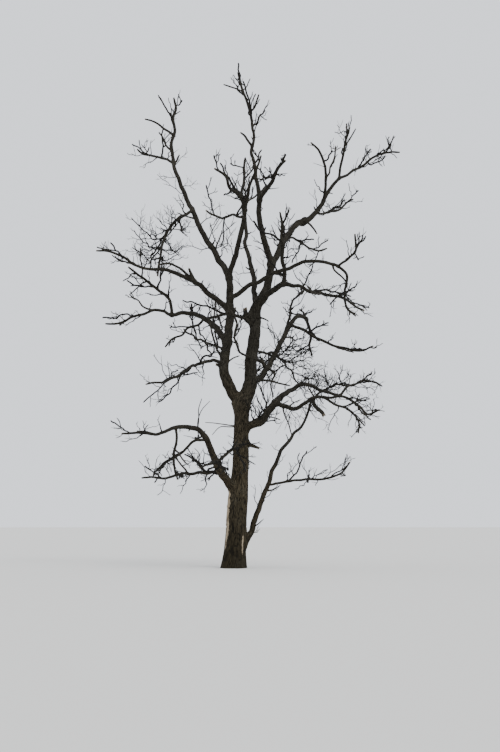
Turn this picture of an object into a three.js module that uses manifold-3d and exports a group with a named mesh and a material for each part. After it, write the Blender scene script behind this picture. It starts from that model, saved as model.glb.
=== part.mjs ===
// A large dead broadleaf tree with no leaves: a trunk with a flared foot, two leaders, bent boughs and
// masses of bare twigs. Millimetres, +Z up. The origin is the middle of the flat cut at ground level.
import * as THREE from 'three';
import { mergeVertices } from 'three/addons/utils/BufferGeometryUtils.js';
import Module from 'manifold-3d';

const wasm = await Module();
wasm.setup();

// Sizes of the whole tree
const treeHeight = 18000;
const lowestTwig = 300;
const seatGap = 0.3; // between a limb and what carries it
const twigGap = 6; // least room between a twig and any limb of another piece
const jointSpacing = 450; // a limb kinks this often
const kink = { trunk: 0.02, limb: 0.14, twig: 0.22 }; // sideways, as a share of the joint spacing
const deepestSeat = 0.98; // a limb at its carrier's tip starts this far along it, so that it is seated
const leastForward = 0.7; // of its heading that a limb which carries on at a tip shares with its carrier
const endWidth = 0.9; // half the room kept free behind a carrier's flat end, as a share of its tip
const steepest = 0.9; // of a heading along one axis, past which another axis gives its sides

// The trunk's foot swells into root buttresses, and its top swells to hold both leaders
const foot = { swell: 92, height: 500, buttresses: 5, relief: 0.35, turn: 0.6 };
const fork = { swell: 60, height: 320 };
const trunkRings = 13;
const ringCrowding = 1.6; // rings crowd towards the foot

// Faces round a limb
const sides = { trunk: 18, bough: 7, stem: 4, twig: 3 };

// Twigs branch by this rule, level by level: how many stand on each metre of what carries them, from
// where to where, how many degrees they lean from it, and how long they are for the root of its length
const metre = 1000;
const mostTwigs = 6;
const twigRule = [
  { perMetre: 1.1, least: 3, first: 0.2, last: 0.96, lean: [35, 70], length: [0.35, 0.8], joints: 3 },
  { perMetre: 0.9, least: 1, first: 0.3, last: 0.9, lean: [30, 65], length: [0.3, 0.6], joints: 1 },
];
const shrink = [1.15, 0.65]; // of the length, from the carrier's root to its tip
const turnSpread = 100; // degrees round the carrier, about a half turn from the twig before
const twigThick = 0.7; // of what carries it, there
const twigThin = 0.75; // of its tip
const thinnestTip = 20;
const curl = { level: 0.1, rising: 0.25 }; // twigs curl upwards, most of all on a rising stem
const room = { stretch: 1.25, margin: 900 }; // a mass keeps to an egg round its stem

// Colours
const barkColour = 0x4a3d31;
const twigColour = 0x332a22;

// Each limb, from where it leaves its carrier: `at` is how far along that is, `reach` runs from root to
// tip, `low` and `high` are its bows at a third and two thirds, `thick` and `thin` its diameters there.
// Boughs first, then the stems of the twig masses
const boughs = {
  trunk: { reach: [290, 0, 5680], low: [60, 0, 0],
    high: [60, 0, 0], thick: 720, thin: 465, seed: 26 },
  leftLeader: { on: 'trunk', at: 0.98, reach: [-460, -300, 4550], low: [-430, -50, -130],
    high: [-130, -30, -70], thick: 400, thin: 225, seed: 106 },
  rightLeader: { on: 'trunk', at: 0.98, reach: [530, 200, 3620], low: [140, 20, -40],
    high: [70, 20, -20], thick: 460, thin: 360, seed: 680 },
  leftTop: { on: 'leftLeader', at: 0.98, reach: [-2180, 1700, 5310], low: [-180, 110, -110],
    high: [-240, 140, -120], thick: 230, thin: 125, seed: 237 },
  midLeft: { on: 'leftLeader', at: 0.98, reach: [560, -1400, 2130], low: [90, -60, -60],
    high: [100, -110, -80], thick: 190, thin: 150, seed: 54 },
  centreStem: { on: 'rightLeader', at: 0.98, reach: [-410, 2100, 3610], low: [10, 210, -140],
    high: [-50, 210, -120], thick: 205, thin: 130, seed: 1053 },
  rightTrunk: { on: 'rightLeader', at: 0.98, reach: [520, -150, 1520], low: [140, -10, -70],
    high: [90, -10, -40], thick: 320, thin: 240, seed: 1130 },
  rightTop: { on: 'rightTrunk', at: 0.98, reach: [-420, -650, 2220], low: [-120, -10, -20],
    high: [-150, -20, -30], thick: 235, thin: 170, seed: 1050 },
  spire: { on: 'rightTop', at: 0.98, reach: [-300, 200, 1870], low: [-30, -30, -10],
    high: [-20, -10, 0], thick: 155, thin: 105, seed: 368 },
  rightBough: { on: 'rightTrunk', at: 0.98, reach: [1420, 1350, 2040], low: [-90, 30, 60],
    high: [-160, 40, 120], thick: 230, thin: 210, seed: 638 },
  rightArm: { on: 'rightBough', at: 0.98, reach: [1260, 400, 1770], low: [80, 30, -100],
    high: [10, 20, -30], thick: 200, thin: 110, seed: 54 },
  rightFork: { on: 'rightTrunk', at: 0.12, reach: [840, -880, 440], low: [0, 0, 10],
    high: [10, -10, -30], thick: 235, thin: 185, seed: 181 },
  crossLimb: { on: 'leftLeader', at: 0.83, reach: [3630, -2740, 430], low: [-100, -120, 250],
    high: [-80, -140, 400], thick: 170, thin: 95, seed: 1251 },
  leftUpper: { on: 'leftLeader', at: 0.73, reach: [-2820, -1260, 1250], low: [90, 30, 240],
    high: [100, 20, 290], thick: 215, thin: 100, seed: 518 },
  leftMiddle: { on: 'leftLeader', at: 0.5, reach: [-2130, 1600, 1280], low: [230, 70, 280],
    high: [220, 80, 340], thick: 245, thin: 130, seed: 951 },
  lowLeft: { on: 'trunk', at: 0.46, reach: [-2250, -1500, 2020], low: [60, -40, 170],
    high: [260, 0, 470], thick: 310, thin: 125, seed: 1307 },
  rightLow: { on: 'trunk', at: 0.83, reach: [1170, -900, 870], low: [90, 20, -100],
    high: [60, -40, -130], thick: 270, thin: 245, seed: 1045 },
  rightLowUpper: { on: 'rightLow', at: 0.98, reach: [2420, 1900, 490], low: [-110, 40, 460],
    high: [-130, 50, 350], thick: 185, thin: 95, seed: 82 },
  rightLowLower: { on: 'rightLow', at: 0.98, reach: [1800, -1400, 0], low: [-40, -50, -240],
    high: [-50, -20, -50], thick: 170, thin: 85, seed: 1325 },
  rightMiddle: { on: 'rightLeader', at: 0.25, reach: [1780, 1530, 2620], low: [130, 120, -240],
    high: [30, 50, -90], thick: 225, thin: 140, seed: 341 },
  footStem: { on: 'trunk', at: 0.09, reach: [2470, 1500, 4530], low: [20, -260, -20],
    high: [-200, -110, 120], thick: 225, thin: 95, seed: 1166 },
};
const stems = {
  spireTwigs: { on: 'spire', at: 0.98, reach: [-480, 550, 3220], low: [220, 0, 20],
    high: [120, 20, 10], thick: 100, thin: 50, seed: 307 },
  topRightTwigs: { on: 'rightTop', at: 0.98, reach: [860, -1900, 770], low: [-20, -10, -20],
    high: [-10, 0, 0], thick: 155, thin: 55, seed: 846 },
  leftTipTwigs: { on: 'leftTop', at: 0.98, reach: [10, 300, 2280], low: [0, -30, 10],
    high: [70, -30, 10], thick: 120, thin: 50, seed: 635 },
  leftArmTwigs: { on: 'leftTop', at: 0.9, reach: [-1520, 1400, 1070], low: [0, -30, 30],
    high: [-10, -10, 0], thick: 95, thin: 45, seed: 530 },
  hangingTwigs: { on: 'leftTop', at: 0.54, reach: [-1060, -1860, -2900], low: [-200, -200, 250],
    high: [-230, -230, 210], thick: 110, thin: 45, seed: 631 },
  midLeftTwigs: { on: 'midLeft', at: 0.98, reach: [-980, -1500, 910], low: [30, 30, 90],
    high: [40, 40, 110], thick: 115, thin: 45, seed: 322 },
  midTopTwigs: { on: 'midLeft', at: 0.98, reach: [550, -1000, 1530], low: [-40, 100, 50],
    high: [-40, 30, 20], thick: 100, thin: 40, seed: 1165 },
  midSideTwigs: { on: 'midLeft', at: 0.87, reach: [-1190, -2510, -520], low: [-20, 30, 10],
    high: [10, 30, -140], thick: 80, thin: 40, seed: 1663 },
  backTwigs: { on: 'centreStem', at: 0.98, reach: [-30, 1500, 3230], low: [-130, -40, 10],
    high: [-110, -20, 10], thick: 125, thin: 50, seed: 583 },
  armRiserTwigs: { on: 'rightArm', at: 0.98, reach: [360, -700, 1750], low: [-40, 50, 30],
    high: [-80, 30, 30], thick: 95, thin: 45, seed: 577 },
  armTipTwigs: { on: 'rightArm', at: 0.98, reach: [2540, 1600, 1620], low: [-30, -30, 100],
    high: [-50, -30, 160], thick: 100, thin: 45, seed: 1375 },
  armInnerTwigs: { on: 'rightArm', at: 0.47, reach: [-540, -1820, 1600], low: [200, -20, 100],
    high: [240, -30, 110], thick: 105, thin: 45, seed: 51 },
  armSideTwigs: { on: 'rightArm', at: 0.23, reach: [1630, 2180, 1200], low: [90, 20, -180],
    high: [60, 30, -130], thick: 90, thin: 45, seed: 408 },
  boughSideTwigs: { on: 'rightBough', at: 0.44, reach: [1760, 2620, 430], low: [-40, 20, 100],
    high: [-50, 50, -100], thick: 80, thin: 45, seed: 523 },
  forkRiserTwigs: { on: 'rightFork', at: 0.98, reach: [-160, -1600, 2090], low: [50, 110, 70],
    high: [20, 80, 60], thick: 145, thin: 45, seed: 810 },
  forkDroopTwigs: { on: 'rightFork', at: 0.98, reach: [2430, -3100, -1570], low: [70, 10, 80],
    high: [60, -10, 110], thick: 120, thin: 40, seed: 771 },
  crossDroopTwigs: { on: 'crossLimb', at: 0.98, reach: [570, 100, -1630], low: [70, -120, 50],
    high: [-90, -10, -20], thick: 85, thin: 40, seed: 883 },
  crossRiserTwigs: { on: 'crossLimb', at: 0.98, reach: [440, -1300, 710], low: [100, -40, -100],
    high: [170, -40, -140], thick: 80, thin: 40, seed: 1635 },
  leftUpperTwigs: { on: 'leftUpper', at: 0.98, reach: [-1650, -900, 400], low: [-20, 10, -10],
    high: [0, 20, 80], thick: 95, thin: 40, seed: 1264 },
  leftMiddleTwigs: { on: 'leftMiddle', at: 0.98, reach: [-2660, 1700, 10], low: [10, 50, 220],
    high: [10, 30, 20], thick: 110, thin: 45, seed: 1741 },
  leftMiddleRisers: { on: 'leftMiddle', at: 0.98, reach: [-1470, -1200, 1500], low: [200, 40, 180],
    high: [100, 10, 80], thick: 115, thin: 45, seed: 1584 },
  leftLowerTwigs: { on: 'leftLeader', at: 0.35, reach: [-2320, -3940, -1220], low: [-50, 50, 270],
    high: [60, 20, 10], thick: 120, thin: 35, seed: 1026 },
  leftInnerTwigs: { on: 'leftLeader', at: 0.42, reach: [-1670, 3480, 1550], low: [30, -20, 80],
    high: [-20, 10, -60], thick: 85, thin: 45, seed: 1049 },
  behindTwigs: { on: 'rightLeader', at: 0.82, reach: [-3510, 4120, -150], low: [140, 140, 670],
    high: [120, 130, 620], thick: 115, thin: 45, seed: 442 },
  innerFrontTwigs: { on: 'rightLeader', at: 0.47, reach: [-520, -3520, 1080], low: [-230, -40, -260],
    high: [-170, -60, -240], thick: 75, thin: 35, seed: 1463 },
  lowLeftTwigs: { on: 'lowLeft', at: 0.98, reach: [-1560, -1300, -300], low: [10, 40, -110],
    high: [-30, 40, -10], thick: 105, thin: 40, seed: 2 },
  lowLeftDrop: { on: 'lowLeft', at: 0.96, reach: [50, 430, -1700], low: [-30, 20, 0],
    high: [-90, 0, -10], thick: 85, thin: 45, seed: 960 },
  lowLeftInner: { on: 'lowLeft', at: 0.6, reach: [-1770, 2710, -780], low: [30, 50, 200],
    high: [40, 40, 100], thick: 95, thin: 45, seed: 408 },
  lowLeftSecond: { on: 'trunk', at: 0.47, reach: [-3750, 3900, 550], low: [60, -40, 460],
    high: [120, 10, 210], thick: 130, thin: 45, seed: 458 },
  frontTwigs: { on: 'trunk', at: 0.74, reach: [-1270, -3200, -980], low: [160, -70, 110],
    high: [70, -10, -20], thick: 125, thin: 40, seed: 132 },
  rightLowTipTwigs: { on: 'rightLowUpper', at: 0.98, reach: [1700, 1500, 520], low: [-60, -20, 280],
    high: [-60, -20, 330], thick: 85, thin: 45, seed: 935 },
  rightLowEndTwigs: { on: 'rightLowLower', at: 0.98, reach: [1450, -1300, -530], low: [110, 0, 30],
    high: [50, 20, -230], thick: 85, thin: 40, seed: 1391 },
  rightLowDroop: { on: 'rightLowLower', at: 0.89, reach: [1220, 1050, -1080], low: [130, 40, 120],
    high: [260, 40, 160], thick: 80, thin: 40, seed: 851 },
  rightMiddleTwigs: { on: 'rightMiddle', at: 0.98, reach: [640, 2000, -1150], low: [200, 10, 320],
    high: [90, 40, 190], thick: 125, thin: 45, seed: 244 },
  rightMiddleDroop: { on: 'rightMiddle', at: 0.84, reach: [2870, -1160, -980], low: [-10, 140, -160],
    high: [-80, 90, -360], thick: 110, thin: 40, seed: 1282 },
  rightMiddleRiser: { on: 'rightMiddle', at: 0.63, reach: [1000, 2710, 2530], low: [-100, -30, 90],
    high: [-140, -60, 140], thick: 85, thin: 45, seed: 597 },
  innerBackTwigs: { on: 'rightLeader', at: 0.52, reach: [1650, 4170, -350], low: [40, 10, 360],
    high: [60, 30, 400], thick: 90, thin: 45, seed: 972 },
  footStemTwigs: { on: 'footStem', at: 0.98, reach: [1810, 1100, 1620], low: [-230, -100, 320],
    high: [-230, -90, 370], thick: 85, thin: 45, seed: 774 },
  footStemSide: { on: 'footStem', at: 0.51, reach: [2630, -2460, 650], low: [20, -30, -80],
    high: [70, -100, -320], thick: 85, thin: 40, seed: 92 },
};

// Seeded numbers from 0 to 1, the same on every run
function makeDraws(seed) {
  let state = Math.imul(seed, 2654435761) >>> 0;
  const draw = () => {
    state = (Math.imul(state, 1664525) + 1013904223) >>> 0;
    return state / 2 ** 32;
  };
  for (let warmUp = 0; warmUp < 3; warmUp += 1) draw();
  return draw;
}

const between = (range, share) => range[0] + (range[1] - range[0]) * share;
const randomOffset = (draw, size) => new THREE.Vector3(draw(), draw(), draw())
  .multiplyScalar(2)
  .subScalar(1)
  .multiplyScalar(size);

// The kinked centre line of a limb: a straight reach, bowed by `low` at a third and by `high` at two thirds
function limbLine(limb, start, kinkShare) {
  const reach = new THREE.Vector3(...limb.reach);
  const low = new THREE.Vector3(...limb.low);
  const high = new THREE.Vector3(...limb.high);
  const steps = Math.max(3, Math.round(reach.length() / jointSpacing));
  const line = [];
  for (let step = 0; step <= steps; step += 1) {
    const t = step / steps;
    const bow = 13.5 * t * (1 - t); // so that each bow is whole where it is measured
    const point = start.clone().addScaledVector(reach, t);
    point.addScaledVector(low, bow * (2 / 3 - t)).addScaledVector(high, bow * (t - 1 / 3));
    if (step > 0 && step < steps) {
      point.add(randomOffset(limb.draw, (kinkShare * reach.length()) / steps));
    }
    line.push(point);
  }
  return line;
}

function placeOn(line, share) {
  const along = share * (line.length - 1);
  const before = Math.min(Math.floor(along), line.length - 2);
  const heading = line[before + 1].clone().sub(line[before]);
  const point = line[before].clone().addScaledVector(heading, along - before);
  return { point, heading: heading.normalize() };
}

// Least distance between two straight stretches
function stretchGap(a, b, c, d) {
  const u = b.clone().sub(a);
  const v = d.clone().sub(c);
  const w = c.clone().sub(a);
  const uu = u.dot(u);
  const uv = u.dot(v);
  const vv = v.dot(v);
  const uw = u.dot(w);
  const vw = v.dot(w);
  const clamp = (x) => Math.min(Math.max(x, 0), 1);
  const spread = uu * vv - uv * uv;
  const first = spread > 1e-9 ? clamp((vv * uw - uv * vw) / spread) : 0;
  const t = clamp((uv * first - vw) / vv);
  const s = clamp((uv * t + uw) / uu);
  return a.clone().addScaledVector(u, s).distanceTo(c.clone().addScaledVector(v, t));
}

// All stretches that stand so far, with the piece that owns them
const standing = [];

function addStanding(owner, line, thick, thin) {
  const steps = line.length - 1;
  for (let step = 0; step < steps; step += 1) {
    const radius = between([thick, thin], step / steps) / 2;
    standing.push({ owner, from: line[step], to: line[step + 1], radius });
  }
}

function isClear(owner, twig) {
  const reserve = twig.thick / 2 + twigGap;
  return standing.every((other) => {
    if (other.owner === owner) return true;
    return twig.line.slice(1).every((end, index) => {
      const gap = stretchGap(twig.line[index], end, other.from, other.to);
      return gap >= other.radius + reserve;
    });
  });
}

// Side twigs of a line, in turn to its two sides, each with smaller twigs of its own
function growTwigs(carrier, level, draw, rise, accept) {
  const rule = twigRule[level];
  const { line, thick, thin } = carrier;
  const length = line[0].distanceTo(line.at(-1));
  const count = Math.min(mostTwigs, Math.max(rule.least, Math.round((rule.perMetre * length) / metre)));
  const firstTurn = 180 * draw();
  for (let index = 0; index < count; index += 1) {
    const share = between([rule.first, rule.last], (index + draw()) / count);
    const { point, heading } = placeOn(line, share);
    const steep = Math.abs(heading.z) >= steepest;
    const aside = new THREE.Vector3(steep ? 1 : 0, 0, steep ? 0 : 1);
    const across = heading.clone().cross(aside).normalize();
    const over = across.clone().cross(heading);
    const lean = THREE.MathUtils.degToRad(between(rule.lean, draw()));
    const turn = THREE.MathUtils.degToRad(firstTurn + 180 * index + turnSpread * (draw() - 0.5));
    const direction = heading.clone().multiplyScalar(Math.cos(lean));
    direction.addScaledVector(across, Math.cos(turn) * Math.sin(lean));
    direction.addScaledVector(over, Math.sin(turn) * Math.sin(lean));
    const size = Math.sqrt(length * metre) * between(shrink, share) * between(rule.length, draw());
    const twigLine = [point];
    for (let joint = 1; joint <= rule.joints; joint += 1) {
      const t = joint / rule.joints;
      const next = point.clone().addScaledVector(direction, size * t);
      next.z += rise * size * t * t;
      twigLine.push(next.add(randomOffset(draw, (kink.twig * size) / rule.joints)));
    }
    const twig = {
      line: twigLine,
      thick: between([thick, thin], share) * twigThick,
      thin: Math.max(thin * twigThin, thinnestTip),
    };
    if (accept(twig) && level + 1 < twigRule.length) growTwigs(twig, level + 1, draw, rise, accept);
  }
}

// A mass keeps to an egg round its stem, over the ground and under the tree's full height
function keepsToRoom(line, stem) {
  const [root, tip] = [stem[0], stem.at(-1)];
  const most = room.stretch * root.distanceTo(tip) + room.margin;
  return line.every((p) => p.distanceTo(root) + p.distanceTo(tip) <= most
    && p.z >= lowestTwig && p.z <= treeHeight);
}

// Axes of the ring at each joint of a line, carried along it without twist; an upright one stays level
function ringAxes(line, upright) {
  const axes = [];
  let across = new THREE.Vector3(1, 0, 0);
  line.forEach((point, index) => {
    const before = line[Math.max(index - 1, 0)];
    const after = line[Math.min(index + 1, line.length - 1)];
    const along = upright ? new THREE.Vector3(0, 0, 1) : after.clone().sub(before).normalize();
    if (index === 0 && Math.abs(along.x) > steepest) across = new THREE.Vector3(0, 1, 0);
    across = across.clone().addScaledVector(along, -across.dot(along)).normalize();
    axes.push({ across, over: across.clone().cross(along) });
  });
  return axes;
}

// A cylinder, or a cone if pointed, bent along a line; radiusAt gives its radius at a joint and an angle
function bentTube(line, faces, radiusAt, { pointed = false, upright = false } = {}) {
  const steps = line.length - 1;
  const geometry = new THREE.CylinderGeometry(pointed ? 0 : 1, 1, 1, faces, steps);
  const axes = ringAxes(line, upright);
  const position = geometry.attributes.position;
  const vertex = new THREE.Vector3();
  for (let index = 0; index < position.count; index += 1) {
    vertex.fromBufferAttribute(position, index);
    const joint = Math.round((vertex.y + 0.5) * steps);
    const onAxis = Math.hypot(vertex.x, vertex.z) < 1e-6;
    const angle = Math.atan2(vertex.z, vertex.x);
    const radius = onAxis ? 0 : radiusAt(joint, angle);
    const { across, over } = axes[joint];
    vertex.copy(line[joint]);
    vertex.addScaledVector(across, radius * Math.cos(angle));
    vertex.addScaledVector(over, radius * Math.sin(angle));
    position.setXYZ(index, vertex.x, vertex.y, vertex.z);
  }
  geometry.deleteAttribute('normal');
  geometry.deleteAttribute('uv');
  return mergeVertices(geometry, 1e-3);
}

function toSolid(geometry) {
  return new wasm.Manifold(new wasm.Mesh({
    numProp: 3,
    vertProperties: new Float32Array(geometry.attributes.position.array),
    triVerts: new Uint32Array(geometry.index.array),
  }));
}

function toGeometry(solid) {
  const { vertProperties, triVerts } = solid.getMesh();
  const geometry = new THREE.BufferGeometry();
  geometry.setAttribute('position', new THREE.BufferAttribute(vertProperties, 3));
  geometry.setIndex(new THREE.BufferAttribute(triVerts, 1));
  geometry.computeVertexNormals();
  return geometry;
}

// A tapering limb, or with a margin the space that it takes from its neighbours
function limbTube(limb, margin = 0) {
  const steps = limb.line.length - 1;
  const line = limb.line.map((point) => point.clone());
  line[0].addScaledVector(placeOn(line, 0).heading, -margin);
  line[steps].addScaledVector(placeOn(line, 1).heading, margin);
  const pointed = limb.kind === 'stem' || limb.kind === 'twig';
  const radiusAt = (joint) => between([limb.thick, limb.thin], joint / steps) / 2 + margin;
  return toSolid(bentTube(line, sides[limb.kind], radiusAt, { pointed: pointed && margin === 0 }));
}

// The trunk swells at its foot in buttresses, and again to both sides where it forks
function trunkRadius(limb, height, angle) {
  const top = limb.reach[2];
  const taper = between([limb.thick, limb.thin], height / top) / 2;
  const nearFoot = Math.exp(-height / foot.height);
  const nearFork = Math.exp((height - top) / fork.height);
  const buttress = 1 + foot.relief * Math.cos(foot.buttresses * angle + foot.turn);
  return taper + foot.swell * nearFoot * buttress + fork.swell * nearFork * Math.abs(Math.cos(angle));
}

// The trunk stands on level rings, so that its foot and top are flat and level
function trunkTube(limb, margin = 0) {
  const line = [];
  for (let ring = 0; ring <= trunkRings; ring += 1) {
    const share = (ring / trunkRings) ** ringCrowding;
    const { point } = placeOn(limb.line, share);
    point.z = share * limb.reach[2];
    line.push(point);
  }
  line[trunkRings].z += margin;
  const radiusAt = (ring, angle) => trunkRadius(limb, line[ring].z, angle) + margin;
  return toSolid(bentTube(line, sides.trunk, radiusAt, { upright: true }));
}

// The space behind a carrier's flat end, which a limb that grows on from there leaves free
function spaceBehindTip(carrier) {
  const line = carrier.line.slice(-2);
  const { point, heading } = placeOn(line, 1);
  line[1] = point.addScaledVector(heading, seatGap);
  const radius = carrier.thin * endWidth;
  return toSolid(bentTube(line, sides[carrier.kind], () => radius));
}

// The centre lines of all boughs and stems come first, so that twigs can keep clear of them
const limbs = {};
for (const [kind, table] of [['bough', boughs], ['stem', stems]]) {
  for (const [name, sizes] of Object.entries(table)) {
    const limb = { name, kind, draw: makeDraws(sizes.seed), ...sizes };
    const carrier = limbs[limb.on];
    const start = carrier ? placeOn(carrier.line, limb.at).point : new THREE.Vector3();
    limb.line = limbLine(limb, start, carrier ? kink.limb : kink.trunk);
    limb.twigs = [];
    limbs[name] = limb;
    addStanding(name, limb.line, limb.thick, limb.thin);
  }
}

for (const limb of Object.values(limbs)) {
  if (limb.kind === 'stem') {
    const rising = limb.line.at(-1).clone().sub(limb.line[0]).normalize().z;
    growTwigs(limb, 0, limb.draw, curl.level + curl.rising * rising, (twig) => {
      if (!keepsToRoom(twig.line, limb.line) || !isClear(limb.name, twig)) return false;
      addStanding(limb.name, twig.line, twig.thick, twig.thin);
      limb.twigs.push({ kind: 'twig', ...twig });
      return true;
    });
  }
}

function boxesMeet(a, b) {
  return [0, 1, 2].every((axis) => a.min[axis] <= b.max[axis] && b.min[axis] <= a.max[axis]);
}

// Whether a limb carries on from its carrier's flat end, and doesn't stand on its side
function growsOn(limb) {
  if (!limb.on || limb.at < deepestSeat) return false;
  const carrierHeading = placeOn(limbs[limb.on].line, 1).heading;
  return placeOn(limb.line, 0).heading.dot(carrierHeading) > leastForward;
}

// A limb gives way to every limb before it, and one that grows on starts at the flat end
function seat(solid, limb, takenSpaces) {
  let seated = solid;
  for (const space of takenSpaces) {
    if (boxesMeet(seated.boundingBox(), space.boundingBox())) seated = seated.subtract(space);
  }
  if (growsOn(limb)) seated = seated.subtract(spaceBehindTip(limbs[limb.on]));
  return seated.decompose().reduce((best, piece) => (piece.volume() > best.volume() ? piece : best));
}

const materials = {
  bough: new THREE.MeshStandardMaterial({ color: barkColour, roughness: 0.95, metalness: 0 }),
  stem: new THREE.MeshStandardMaterial({ color: twigColour, roughness: 0.9, metalness: 0 }),
};
const tree = new THREE.Group();
const takenSpaces = [];
for (const limb of Object.values(limbs)) {
  const build = limb.name === 'trunk' ? trunkTube : limbTube;
  const whole = limb.twigs.reduce((solid, twig) => solid.add(limbTube(twig)), build(limb));
  const mesh = new THREE.Mesh(toGeometry(seat(whole, limb, takenSpaces)), materials[limb.kind]);
  mesh.name = limb.name;
  tree.add(mesh);
  takenSpaces.push(build(limb, seatGap));
}

export default tree;
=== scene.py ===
# A large dead tree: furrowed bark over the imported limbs, with twigs that grow on from them by the same rule
import math
import bpy
import numpy as np
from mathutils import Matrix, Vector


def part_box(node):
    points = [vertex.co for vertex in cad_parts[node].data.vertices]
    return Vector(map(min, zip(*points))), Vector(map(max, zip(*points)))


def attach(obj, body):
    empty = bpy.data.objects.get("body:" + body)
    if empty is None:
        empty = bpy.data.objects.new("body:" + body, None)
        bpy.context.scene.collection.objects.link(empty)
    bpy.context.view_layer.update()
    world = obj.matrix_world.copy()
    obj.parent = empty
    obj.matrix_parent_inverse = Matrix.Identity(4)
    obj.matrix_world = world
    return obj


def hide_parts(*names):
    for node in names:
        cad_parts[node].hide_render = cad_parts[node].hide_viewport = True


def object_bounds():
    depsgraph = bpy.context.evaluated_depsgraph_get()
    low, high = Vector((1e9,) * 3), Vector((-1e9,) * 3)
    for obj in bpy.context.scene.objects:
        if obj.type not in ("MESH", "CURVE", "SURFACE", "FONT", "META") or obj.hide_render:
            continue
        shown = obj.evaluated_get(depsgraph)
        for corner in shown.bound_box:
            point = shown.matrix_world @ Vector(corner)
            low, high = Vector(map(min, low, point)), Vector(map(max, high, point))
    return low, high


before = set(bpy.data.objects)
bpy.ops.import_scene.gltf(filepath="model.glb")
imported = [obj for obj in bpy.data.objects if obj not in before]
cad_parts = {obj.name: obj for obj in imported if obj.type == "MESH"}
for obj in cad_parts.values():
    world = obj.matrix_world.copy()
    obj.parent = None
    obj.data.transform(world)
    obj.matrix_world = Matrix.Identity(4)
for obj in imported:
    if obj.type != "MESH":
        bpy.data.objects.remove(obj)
cadBox = [list(corner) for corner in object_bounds()]
print("frame loaded,", len(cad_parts), "limbs")

# The photograph's view, in metres and degrees
photoView = {
    "focalLength": 50.0,
    "standsBack": 36.1,
    "aside": 0.572,
    "eyeHeight": 1.5,
    "tiltUp": 8.04,
}

# Plain pale floor and soft light, mostly from the sky
studio = {
    "floorRadius": 400.0,
    "floorSides": 96,
    "floorColour": (0.67, 0.66, 0.63),
    "floorRoughness": 0.9,
    "floorShine": 0.1,
    "skyColour": (0.80, 0.83, 0.88),
    "skyStrength": 1.6,
    "keyStrength": 1.6,
    "keyAngle": 25.0,
    "keyTurn": (38.0, 12.0, 25.0),
}


def addObject(name, data):
    added = bpy.data.objects.new(name, data)
    bpy.context.scene.collection.objects.link(added)
    return added


# Equal turns round a circle, with their cosines and sines
def circle(sides):
    turns = np.linspace(0, 2 * math.pi, sides, endpoint=False)
    return turns, np.cos(turns), np.sin(turns)


def placeCamera():
    camera = addObject("camera", bpy.data.cameras.new("camera"))
    camera.data.lens = photoView["focalLength"]
    camera.data.clip_end = 2 * studio["floorRadius"]
    camera.location = (photoView["aside"], -photoView["standsBack"], photoView["eyeHeight"])
    camera.rotation_euler = (math.radians(90 + photoView["tiltUp"]), 0, 0)
    bpy.context.scene.camera = camera


# Floor: a flat disc, its rim at radius * (cosine, sine) of equal turns
def layFloor():
    turns, cosine, sine = circle(studio["floorSides"])
    rim = np.stack([cosine, sine, 0 * turns], axis=1) * studio["floorRadius"]
    mesh = bpy.data.meshes.new("floor")
    mesh.from_pydata([tuple(point) for point in rim], [], [tuple(range(len(rim)))])
    material = bpy.data.materials.new("floorPaper")
    material.use_nodes = True
    shader = material.node_tree.nodes["Principled BSDF"]
    shader.inputs["Base Color"].default_value = (*studio["floorColour"], 1)
    shader.inputs["Roughness"].default_value = studio["floorRoughness"]
    shader.inputs["Specular IOR Level"].default_value = studio["floorShine"]
    mesh.materials.append(material)
    addObject("floor", mesh)


def lightStudio():
    world = bpy.data.worlds.new("sky")
    world.use_nodes = True
    background = world.node_tree.nodes["Background"]
    background.inputs["Color"].default_value = (*studio["skyColour"], 1)
    background.inputs["Strength"].default_value = studio["skyStrength"]
    bpy.context.scene.world = world
    key = addObject("key", bpy.data.lights.new("key", "SUN"))
    key.data.energy = studio["keyStrength"]
    key.data.angle = math.radians(studio["keyAngle"])
    key.rotation_euler = [math.radians(turn) for turn in studio["keyTurn"]]


placeCamera()
layFloor()
lightStudio()
print("camera, floor and light placed")

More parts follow.
